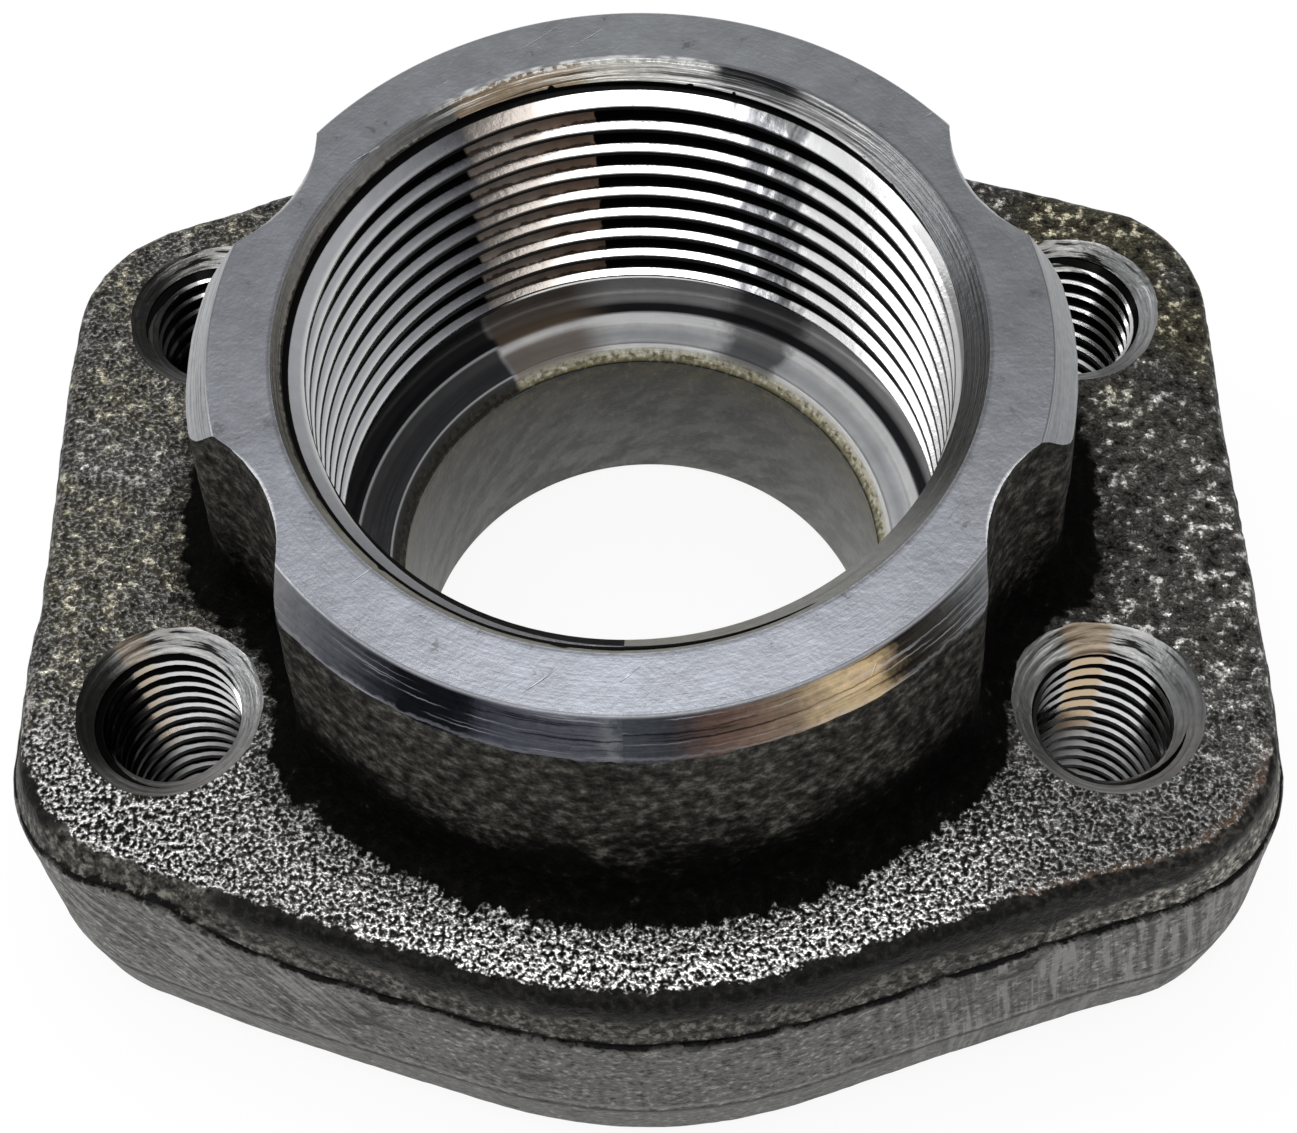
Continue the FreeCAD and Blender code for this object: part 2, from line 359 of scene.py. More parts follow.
def blank_rings(angle, plate, hub, bolts, quirks):
    """All rings of the forged blank, and the finish that starts at each."""
    rings = []

    def hub_ring(outset, height, finish):
        distance = hub_distance(angle, hub, bolts, quirks, outset)
        rings.append((ring_at(angle, distance, height), finish))

    profile = side_profile(plate)
    first = plate_point(angle, plate, quirks, *profile[0])
    for part in (0.35, 0.6, 0.8, 0.93):
        rings.append((first * np.array([part, part, 1.0]), "faced"))
    for inset, height in profile:
        level = np.full_like(angle, height)
        ring = plate_point(angle, plate, quirks, inset, level)
        low_part = "side" if height > 0.01 * MM else "faced"
        rings.append((ring, low_part if height < plate.thickness - MM else "grain"))
    edge = rings[-1][0]
    chamfer_foot = hub.height - hub.chamfer_height
    wall = (chamfer_foot - plate.thickness) * math.tan(hub.draft)
    foot = hub.foot_radius
    inner = ring_at(angle, hub_distance(angle, hub, bolts, quirks, wall + foot),
                    plate.thickness)
    for k in range(1, TOP_STEPS):
        rings.append((edge + (inner - edge) * k / TOP_STEPS, "grain"))
    for k in range(FOOT_STEPS + 1):
        bend = math.pi / 2 * (1 - k / FOOT_STEPS)
        hub_ring(wall + foot * (1 - math.cos(bend)),
                 plate.thickness + foot * (1 - math.sin(bend)), "foot")
    top = hub.height + SPARE_HEIGHT
    for height in np.linspace(plate.thickness + foot, top, WALL_STEPS)[1:]:
        hub_ring((chamfer_foot - height) * math.tan(hub.draft), height, "wall")
    crown = rings[-1][0]
    for part in (0.85, 0.6, 0.35):
        rings.append((crown * np.array([part, part, 1.0]), "crown"))
    return rings


def closed_rings(name, rings, low_z, high_z):
    """A closed mesh from rings of equal length, with a fan at each end on the axis."""
    steps = len(rings[0])
    points = np.concatenate(list(rings) + [np.array([[0, 0, low_z], [0, 0, high_z]])])
    low, high = len(points) - 2, len(points) - 1
    faces = []
    for i in range(steps):
        j = (i + 1) % steps
        faces.append((low, j, i))
        for k in range(len(rings) - 1):
            a = k * steps
            faces.append((a + i, a + j, a + steps + j, a + steps + i))
        a = (len(rings) - 1) * steps
        faces.append((a + i, a + j, high))
    mesh = bpy.data.meshes.new(name)
    mesh.from_pydata(points.tolist(), [], faces)
    mesh.update()
    return mesh


def roughened(rings, finishes, quirks):
    """Moves the forged rings along their normals by swells and by blasted grain."""
    grid = np.array(rings)
    around = np.roll(grid, -1, axis=1) - np.roll(grid, 1, axis=1)
    up = np.gradient(grid, axis=0)
    normal = np.cross(around, up)
    normal /= np.maximum(np.linalg.norm(normal, axis=2, keepdims=True), 1e-12)
    for k, finish in enumerate(finishes):
        swell, grain = RELIEF[finish]
        if not swell:
            continue
        for i, point in enumerate(grid[k]):
            place = Vector(point) / MM
            low = noise.noise(place * 0.16) + 0.6 * noise.noise(place * 0.42 + Vector((7, 3, 1)))
            fine = noise.noise(place * 1.15) + 0.7 * noise.noise(place * 2.1 + Vector((2, 9, 4)))
            grid[k, i] += normal[k, i] * (low * swell * quirks.waviness
                                          + fine * grain * quirks.pitting)
    return list(grid)


# Turned and threaded cutters

def turned_mesh(name, profile, steps):
    """A closed solid of revolution from a profile that starts and ends on the axis."""
    angle = np.arange(steps) * 2 * math.pi / steps
    rings = [ring_at(angle, radius, height) for radius, height in profile[1:-1]]
    return closed_rings(name, rings, profile[0][1], profile[-1][1])


class Wire:
    """A node's output that takes part in maths written as Python expressions."""

    def __init__(self, socket):
        self.socket = socket

    def _maths(self, operation, *values):
        nodes = self.socket.node.id_data.nodes
        node = nodes.new("ShaderNodeMath")
        node.operation = operation
        for place, value in zip(node.inputs, values):
            plug(place, value)
        return Wire(node.outputs[0])

    def __add__(self, other):
        return self._maths("ADD", self, other)

    def __radd__(self, other):
        return self._maths("ADD", other, self)

    def __sub__(self, other):
        return self._maths("SUBTRACT", self, other)

    def __rsub__(self, other):
        return self._maths("SUBTRACT", other, self)

    def __mul__(self, other):
        return self._maths("MULTIPLY", self, other)

    def __rmul__(self, other):
        return self._maths("MULTIPLY", other, self)

    def __truediv__(self, other):
        return self._maths("DIVIDE", self, other)

    def __rtruediv__(self, other):
        return self._maths("DIVIDE", other, self)

    def __abs__(self):
        return self._maths("ABSOLUTE", self)

    def __gt__(self, other):
        return self._maths("GREATER_THAN", self, other)

    def __lt__(self, other):
        return self._maths("LESS_THAN", self, other)

    def sine(self):
        return self._maths("SINE", self)

    def cosine(self):
        return self._maths("COSINE", self)

    def root(self):
        return self._maths("SQRT", self)

    def fraction(self):
        return self._maths("FRACT", self)

    def greatest(self, other):
        return self._maths("MAXIMUM", self, other)

    def least(self, other):
        return self._maths("MINIMUM", self, other)

    def angle_to(self, along):
        return self._maths("ARCTAN2", self, along)

    def ramp(self, start, end):
        """0 before start, 1 after end, and smooth between; start may be the greater."""
        node = self.socket.node.id_data.nodes.new("ShaderNodeMapRange")
        node.interpolation_type = "SMOOTHSTEP"
        plug(node.inputs["Value"], self)
        plug(node.inputs["From Min"], start)
        plug(node.inputs["From Max"], end)
        return Wire(node.outputs["Result"])

    def bump_at(self, centre, width):
        """1 at centre, falling smoothly to 0 at width away."""
        return abs(self - centre).ramp(width, 0.0)


def axes(recipe, vector):
    """The X, Y and Z of a vector."""
    node = recipe.add("ShaderNodeSeparateXYZ", inputs={"Vector": vector}, output=None)
    return [Wire(socket) for socket in node.outputs]


def plug(place, value):
    """Links a wire or a socket to an input, or sets a plain value, a grey as one number."""
    if isinstance(value, Wire):
        value = value.socket
    if isinstance(value, bpy.types.NodeSocket):
        place.id_data.links.new(value, place)
    elif hasattr(place.default_value, "__len__") and not hasattr(value, "__len__"):
        place.default_value = [value] * len(place.default_value)
    elif hasattr(value, "__len__") and len(place.default_value) == 4 and len(value) == 3:
        place.default_value = (*value, 1.0)
    else:
        place.default_value = value


class Recipe:
    """A node tree that is written one call for each node."""

    def __init__(self, tree):
        self.tree = tree

    def add(self, kind, settings=None, inputs=None, output=0):
        """Adds a node, sets its settings first and then its inputs, and returns an output."""
        node = self.tree.nodes.new(kind)
        for name, value in (settings or {}).items():
            if name == "stops":
                self._stops(node.color_ramp, value)
            elif name == "points":
                self._points(node.mapping, value)
            else:
                setattr(node, name, value)
        for name, value in (inputs or {}).items():
            plug(node.inputs[name], value)
        if output is None:
            return node
        return Wire(node.outputs[output])

    @staticmethod
    def _stops(ramp, stops):
        while len(ramp.elements) < len(stops):
            ramp.elements.new(0.5)
        for element, (position, value) in zip(ramp.elements, stops):
            element.position = position
            element.color = (*value, 1.0) if hasattr(value, "__len__") else (value,) * 3 + (1.0,)

    @staticmethod
    def _points(mapping, points):
        curve = mapping.curves[0]
        while len(curve.points) < len(points):
            curve.points.new(0.5, 0.5)
        for point, place in zip(curve.points, points):
            point.location = place
            point.handle_type = "VECTOR"
        mapping.update()


# Half a pitch from a crest's middle to a root's middle: shares of pitch and of depth
PIPE_FORM = [(0.0, 0.0), (0.068, 0.0), (0.098, 0.035), (0.183, 0.315), (0.275, 0.60),
             (0.3783, 0.8846), (0.422, 0.958), (0.460, 0.991), (0.5, 1.0)]
BOLT_FORM = [(0.0, 0.0), (0.14, 0.0), (0.285, 0.46), (0.4375, 0.97), (0.5, 1.0)]


def full_form(half):
    """One whole turn's form, from the half that leads from crest to root."""
    return half + [(1 - across, depth) for across, depth in reversed(half[:-1])]


def thread_tree(name, half_form):
    """Geometry nodes that wind a thread form up the Z axis into a closed screw."""
    form = full_form(half_form)
    steps = len(form) - 1
    tree = bpy.data.node_groups.new(name, "GeometryNodeTree")
    for label, kind, value in (
            ("Crest Radius", "NodeSocketFloat", 0.019476),
            ("Root Radius", "NodeSocketFloat", 0.021), ("Pitch", "NodeSocketFloat", 0.0023),
            ("Start Height", "NodeSocketFloat", 0.0), ("Phase", "NodeSocketFloat", 0.0),
            ("Turns", "NodeSocketInt", 10), ("Segments", "NodeSocketInt", 96)):
        socket = tree.interface.new_socket(label, in_out="INPUT", socket_type=kind)
        socket.default_value = value
    tree.interface.new_socket("Metal", in_out="INPUT", socket_type="NodeSocketMaterial")
    tree.interface.new_socket("Geometry", in_out="OUTPUT", socket_type="NodeSocketGeometry")
    recipe = Recipe(tree)
    given = recipe.add("NodeGroupInput", output=None).outputs
    crest, root, pitch, low, phase, turns, segments = (Wire(given[k]) for k in range(7))
    grid = recipe.add("GeometryNodeMeshGrid", inputs={
        "Size X": 1.0, "Size Y": 1.0, "Vertices X": turns * segments + 1,
        "Vertices Y": steps + 1})
    along, across, _ = axes(recipe, recipe.add("GeometryNodeInputPosition"))
    wound = (along + 0.5) * turns

    def formed(column):
        stops = [(k / steps, point[column]) for k, point in enumerate(form)]
        return recipe.add("ShaderNodeFloatCurve", {"points": stops}, {"Value": across + 0.5})

    angle = wound * (2 * math.pi) + phase
    radius = crest + (root - crest) * formed(1)
    height = low + (wound + formed(0)) * pitch
    spot = recipe.add("ShaderNodeCombineXYZ", inputs={
        "X": radius * angle.cosine(), "Y": radius * angle.sine(), "Z": height})
    screw = recipe.add("GeometryNodeSetPosition", inputs={"Geometry": grid, "Position": spot})
    screw = recipe.add("GeometryNodeMergeByDistance", inputs={
        "Geometry": screw, "Distance": SCREW_MERGE})
    sides = recipe.add("GeometryNodeInputMeshEdgeNeighbors")
    extruded = recipe.add("GeometryNodeExtrudeMesh", {"mode": "EDGES"}, {
        "Mesh": screw, "Selection": sides < 1.5, "Offset Scale": 0.0}, output=None).outputs
    high = low + (turns + 1) * pitch
    at_height = axes(recipe, recipe.add("GeometryNodeInputPosition"))[2]
    upper = at_height > (low + high) * 0.5
    tip = recipe.add("ShaderNodeCombineXYZ", inputs={
        "X": 0.0, "Y": 0.0, "Z": low + (high - low) * upper})
    closed = recipe.add("GeometryNodeSetPosition", inputs={
        "Geometry": extruded["Mesh"], "Selection": extruded["Top"], "Position": tip})
    closed = recipe.add("GeometryNodeMergeByDistance", inputs={
        "Geometry": closed, "Distance": SCREW_MERGE})
    whole = recipe.add("GeometryNodeRealizeInstances", inputs={"Geometry": closed})
    painted = recipe.add("GeometryNodeSetMaterial", inputs={
        "Geometry": whole, "Material": given["Metal"]})
    recipe.add("NodeGroupOutput", inputs={"Geometry": painted}, output=None)
    return tree


def wound_screw(name, half_form, values):
    """A closed screw as a plain mesh object, made by the thread's geometry nodes."""
    shell = add_object(name, bpy.data.meshes.new(name))
    tree = thread_tree(name + "_nodes", half_form)
    modifier = shell.modifiers.new("wind", "NODES")
    modifier.node_group = tree
    for item in tree.interface.items_tree:
        if item.in_out == "INPUT":
            modifier[item.identifier] = values[item.name]
    mesh = plain_mesh(shell, name)
    shell.modifiers.clear()
    shell.data = mesh
    if not mesh.polygons:
        raise RuntimeError("The thread's nodes gave no mesh: " + name)
    return shell


def plain_mesh(shell, name):
    """A new mesh of the object as its modifiers leave it."""
    bpy.context.view_layer.update()
    graph = bpy.context.evaluated_depsgraph_get()
    mesh = bpy.data.meshes.new_from_object(shell.evaluated_get(graph), depsgraph=graph)
    mesh.name = name
    return mesh


@contextmanager
def opened(mesh):
    """The mesh as one that can be edited, written back at the end."""
    work = bmesh.new()
    work.from_mesh(mesh)
    yield work
    work.to_mesh(mesh)
    work.free()


def outward(mesh):
    """Merges doubles and turns all faces outwards."""
    with opened(mesh) as work:
        bmesh.ops.remove_doubles(work, verts=work.verts, dist=CUTTER_MERGE)
        bmesh.ops.recalc_face_normals(work, faces=work.faces)
        if work.calc_volume(signed=True) < 0:
            bmesh.ops.reverse_faces(work, faces=work.faces)
    return mesh


def add_object(name, data):
    """An object of this mesh, lamp or camera, put into the scene."""
    thing = bpy.data.objects.new(name, data)
    bpy.context.scene.collection.objects.link(thing)
    return thing


def take_off(blank, cutter):
    """Cuts a closed cutter out of the blank, which takes the cutter's finish there."""
    outward(cutter.data)
    modifier = blank.modifiers.new("cut", "BOOLEAN")
    modifier.operation = "DIFFERENCE"
    modifier.solver = "MANIFOLD"
    modifier.object = cutter
    modifier.material_mode = "TRANSFER"
    before = len(blank.data.polygons)
    mesh = plain_mesh(blank, blank.name)
    blank.modifiers.clear()
    old = blank.data
    blank.data = mesh
    bpy.data.meshes.remove(old)
    bpy.data.objects.remove(cutter)
    if len(mesh.polygons) == 0 or len(mesh.polygons) == before:
        raise RuntimeError("A cut left the blank as it was")


# Finishes

def metal(name, build):
    """A material whose node tree is filled in by build, which returns its surface."""
    material = bpy.data.materials.get(name)
    if material:
        return material
    material = bpy.data.materials.new(name)
    material.use_nodes = True
    material.node_tree.nodes.clear()
    recipe = Recipe(material.node_tree)
    recipe.add("ShaderNodeOutputMaterial", inputs={"Surface": build(recipe)}, output=None)
    return material


def steel(recipe, base, metallic, roughness, height, depth, specular=0.1):
    """A steel surface with its colour, shine and fine relief of so many millimetres."""
    relief = recipe.add("ShaderNodeBump", inputs={
        "Strength": 1.0, "Distance": depth * MM, "Height": height})
    return recipe.add("ShaderNodeBsdfPrincipled", inputs={
        "Base Color": base, "Metallic": metallic, "Roughness": roughness,
        "Specular IOR Level": specular, "Normal": relief})


class Place:
    """Where a point lies on the piece, in millimetres and degrees."""

    def __init__(self, recipe):
        spot = recipe.add("ShaderNodeTexCoord", output="Object")
        self.spot = recipe.add("ShaderNodeVectorMath", {"operation": "SCALE"}, {
            0: spot, "Scale": 1 / MM})
        self.x, self.y, self.z = axes(recipe, self.spot)
        self.radius = (self.x * self.x + self.y * self.y).root()
        self.turn = (self.y.angle_to(self.x) / (2 * math.pi) + 1.25).fraction()

    @property
    def degrees(self):
        """Angle round the bore from -90 at the front, through 0 at the right, to 270."""
        return self.turn * 360 - 90

    def speckle(self, recipe, scale, detail, roughness, shift=0.0):
        """Noise from 0 to 1 at so many waves to the millimetre."""
        moved = recipe.add("ShaderNodeVectorMath", {"operation": "ADD"}, {
            0: self.spot, 1: (shift,) * 3})
        return recipe.add("ShaderNodeTexNoise", inputs={
            "Vector": moved, "Scale": scale, "Detail": detail, "Roughness": roughness})


def streaks(recipe, across, along, shift=0.0, detail=2.0):
    """Noise on two numbers, for marks that run long where a number changes slowly."""
    spot = recipe.add("ShaderNodeCombineXYZ", inputs={"X": across, "Y": along, "Z": shift})
    return recipe.add("ShaderNodeTexNoise", inputs={
        "Vector": spot, "Scale": 1.0, "Detail": detail, "Roughness": 0.55})


def blended(recipe, share_of_second, first, second):
    """The first colour, covered by the second as far as its share says."""
    return recipe.add("ShaderNodeMix", {"data_type": "RGBA"}, {
        0: share_of_second, 6: first, 7: second}, output=2)


def layered(recipe, base, layers):
    """Lays colours over a base one after another, each with the share that it covers."""
    for covered, colour_above in layers:
        base = blended(recipe, covered, base, colour_above)
    return base


def toned(recipe, colour, strength):
    """The colour times a strength, which may be over 1."""
    return recipe.add("ShaderNodeVectorMath", {"operation": "SCALE"}, {
        0: colour, "Scale": strength})


def noted(recipe, name):
    """A number that the mesh carries at each of its points."""
    return recipe.add("ShaderNodeAttribute", {"attribute_name": name}, output="Fac")


def ramped(recipe, value, stops):
    """A colour for each value from 0 to 1."""
    return recipe.add("ShaderNodeValToRGB", {"stops": stops}, {"Fac": value})


def round_ramp(recipe, turn, stops):
    """A colour for each angle round the bore, from stops in degrees from -90 to 270."""
    return ramped(recipe, turn, [((at + 90) / 360, value) for at, value in stops])


def blasted_top(recipe, place, off):
    """The plate's blasted upper face: grain with painted glints over dark hollows, painted
    brighter at the front and darker near the hub's foot.
    """
    colours = bpy.context.scene.flange_finish
    x, y = place.x, place.y
    fine = place.speckle(recipe, 3.5, 1.2, 0.5)
    coarse = place.speckle(recipe, 1.4, 3.0, 0.62, 17.0)
    slow = place.speckle(recipe, 0.16, 2.0, 0.5, 8.0)
    edge = noted(recipe, "from_edge")
    front = (y + (slow - 0.5) * 14).ramp(-10.0, -24.0)
    middle = abs(x - 3.0).ramp(27.0, 9.0)
    left = x.ramp(-18.0, -30.0)
    behind = y.ramp(2.0, 14.0)
    glinting_grain = ramped(recipe, fine, [(0.36, 0.003), (0.43, (0.030, 0.029, 0.027)),
                                   (0.48, (0.15, 0.148, 0.142)), (0.53, (0.48, 0.475, 0.465)),
                                   (0.59, (1.0, 0.995, 0.98))])
    dull = ramped(recipe, coarse, [(0.30, (0.004, 0.004, 0.0035)), (0.39, (0.034, 0.033, 0.030)),
                                   (0.46, (0.062, 0.060, 0.055)), (0.56, (0.092, 0.090, 0.083)),
                                   (0.61, (0.30, 0.294, 0.28)), (0.68, (0.85, 0.84, 0.80))])
    # Painted shade: the dull grain is darker towards the back
    dull = toned(recipe, dull, 0.62 + slow * 0.4 - behind * 0.2)
    oily = blended(recipe, (left + behind).least(1.0) * slow.ramp(0.36, 0.58) * 0.65,
                   1.0, tuple(colours.olive))
    dull = recipe.add("ShaderNodeVectorMath", {"operation": "MULTIPLY"}, {0: dull, 1: oily})
    # Painted light: the glinting grain covers most and shines brightest at the front middle, where
    # light glances off the blasted face, and less on the right
    glint_share = (front * (0.75 + middle * 0.25) + left * 0.30).least(1.0)
    strength = 0.42 + front * (0.16 + middle * 0.60 - x.ramp(14.0, 26.0) * 0.32)
    base = blended(recipe, glint_share, dull, toned(recipe, glinting_grain, strength))
    rim = (edge + (slow - 0.5) * 1.6).ramp(2.7, 1.8) * (x + y * 0.3).ramp(12.0, 16.0)
    rim = rim * y.ramp(-16.0, -21.0) * fine.ramp(0.62, 0.45)
    base = blended(recipe, rim * 0.42, base, tuple(colours.rust_and_reflected_brown))
    # Painted shade: the grain darkens near the hub's foot, where the hub shades it
    near_foot = (off + (slow - 0.5) * 2.0).ramp(5.2, 2.6)
    base = toned(recipe, base, 1.0 - near_foot * 0.5)
    shine = fine.ramp(0.44, 0.60)
    return steel(recipe, base, 0.35 + shine * 0.55, 0.50 - shine * 0.18, fine + coarse, 0.24)


def hub_wall(recipe, place):
    """The hub's forged wall: mottled dull scale, painted lighter at the front, with painted shade
    that goes black towards the foot.
    """
    colours = bpy.context.scene.flange_finish
    grit = place.speckle(recipe, 1.25, 3.0, 0.66, 3.0)
    slow = place.speckle(recipe, 0.20, 2.0, 0.5, 5.0)
    wall = ramped(recipe, grit, [(0.32, (0.004, 0.004, 0.0035)), (0.46, (0.021, 0.020, 0.017)),
                                 (0.56, (0.046, 0.044, 0.038)), (0.70, (0.12, 0.115, 0.10))])
    # Painted light: the wall's front is lighter
    wall = toned(recipe, wall, 0.42 + slow * 0.9 + place.y.ramp(-18.0, -27.0) * 0.35)
    # Painted shade, going black down towards the foot's fillet
    painted_shade = (place.z + (slow - 0.5) * 9 + (grit - 0.5) * 5).ramp(31.5, 26.0)
    fleck = (grit - 0.68).ramp(0.0, 0.05) * painted_shade
    wall = layered(recipe, wall, (
        (painted_shade * 0.97, tuple(colours.painted_shade)), (fleck * 0.4, (0.05, 0.045, 0.035))))
    return steel(recipe, wall, 0.35, 0.62, grit, 0.36, 0.03)


def plate_side(recipe, place):
    """The plate's side: scale above the ledge line, with painted shade at its top edge and a
    painted shadow along the line, and the trimmed band below it.
    """
    colours = bpy.context.scene.flange_finish
    x, y, z = place.x, place.y, place.z
    above = noted(recipe, "above_band")
    grit = place.speckle(recipe, 2.0, 3.0, 0.62, 6.0)
    slow = place.speckle(recipe, 0.30, 3.0, 0.55, 2.0)
    ragged = slow + grit * 0.6 - 0.8
    scale = ramped(recipe, grit, [(0.36, (0.006, 0.006, 0.005)), (0.44, (0.036, 0.035, 0.031)),
                                  (0.53, (0.075, 0.072, 0.063)), (0.63, (0.22, 0.21, 0.185))])
    # Painted light: the scale on the right end is lighter, where more light falls on it
    scale = toned(recipe, scale, 0.80 + x.ramp(20.0, 34.0) * 1.2)
    # Painted shade: the scale darkens to nearly black towards the plate's rounded top edge
    black = (above + ragged * 4.5).ramp(2.2, 3.3)
    scale = blended(recipe, black * 0.9, scale, tuple(colours.painted_shade))
    band = ramped(recipe, grit, [(0.34, (0.018, 0.018, 0.016)), (0.42, (0.085, 0.084, 0.079)),
                                 (0.56, (0.130, 0.127, 0.120)), (0.68, (0.30, 0.293, 0.28))])
    band = toned(recipe, band, 0.66 + slow * 0.70 + abs(x).ramp(20.0, 32.0) * 0.18)
    run = y.angle_to(x) * 40.0
    scrape = streaks(recipe, run * 2.2 + z * (0.25 + x.ramp(0.0, -20.0) * 1.1), z * 0.10)
    scraped = (abs(x) + abs(y) * 0.3).ramp(22.0, 31.0) * slow.ramp(0.30, 0.50)
    dents = (place.speckle(recipe, 0.42, 2.0, 0.5, 31.0) + grit * 0.25 - 0.78).ramp(0.0, 0.05)
    low = z + ragged * 0.9
    band = layered(recipe, band, (
        (scrape.ramp(0.52, 0.62) * scraped * 0.7, (0.27, 0.265, 0.255)),
        (scrape.ramp(0.46, 0.38) * scraped * 0.6, (0.030, 0.029, 0.027)),
        (dents * 0.75, (0.022, 0.021, 0.019)),
        # Painted light: the strip below the band is lighter, standing in for light bounced up off
        # the floor
        (low.ramp(6.2, 5.7) * 0.35, (0.16, 0.16, 0.152)),
        (low.bump_at(6.25, 0.50) * 0.85, (0.014, 0.0135, 0.012)),
        (low.bump_at(7.00, 0.42) * 0.45, (0.30, 0.295, 0.28))))
    # Painted shadow: a nearly black line along the trimming's ledge, with a lighter strip just
    # above it
    ledge_line = above + ragged * 0.9
    side = layered(recipe, blended(recipe, above.ramp(0.12, -0.05), scale, band), (
        (ledge_line.bump_at(0.22, 0.46).ramp(0.1, 0.6), 0.0015),
        (ledge_line.bump_at(0.86, 0.26) * slow.ramp(0.40, 0.55) * 0.35, (0.15, 0.145, 0.135)),
        (z.ramp(0.5, 0.12) * 0.85, (0.010, 0.010, 0.009))))
    return steel(recipe, side, 0.15, 0.58, grit - dents, 0.20, 0.12)


def forged_skin(recipe):
    """Blasted plate, scaled hub wall and trimmed side, with ragged edges between."""
    place = Place(recipe)
    off, edge = noted(recipe, "off_hub"), noted(recipe, "from_edge")
    ragged = place.speckle(recipe, 0.8, 3.0, 0.65) - 0.5
    fringe = streaks(recipe, place.turn * 200.0, off * 0.35, 7.0, 2.0) - 0.5
    on_hub = (off + ragged * 2.0 + fringe * 2.0).ramp(2.7, 2.2)
    margin = 1.9 - place.y.ramp(-24.0, -14.0) * 0.8
    on_top = (edge + ragged * 1.4 - margin).ramp(-0.1, 0.1) * place.z.ramp(20.7, 21.1)
    top = recipe.add("ShaderNodeMixShader", inputs={
        0: on_hub, 1: blasted_top(recipe, place, off), 2: hub_wall(recipe, place)})
    return recipe.add("ShaderNodeMixShader", inputs={
        0: on_top, 1: plate_side(recipe, place), 2: top})


def scratches(recipe, place, *ways):
    """Stray scratches on a flat face, each way given by its angle and its seed."""
    marks = 0.0
    for angle, seed in ways:
        turned = recipe.add("ShaderNodeVectorRotate", {"rotation_type": "Z_AXIS"}, {
            "Vector": place.spot, "Angle": angle})
        across, along, _ = axes(recipe, turned)
        marks = marks + streaks(recipe, across * 2.6, along * 0.13, seed, 2.0).ramp(0.71, 0.76)
    return marks.least(1.0)


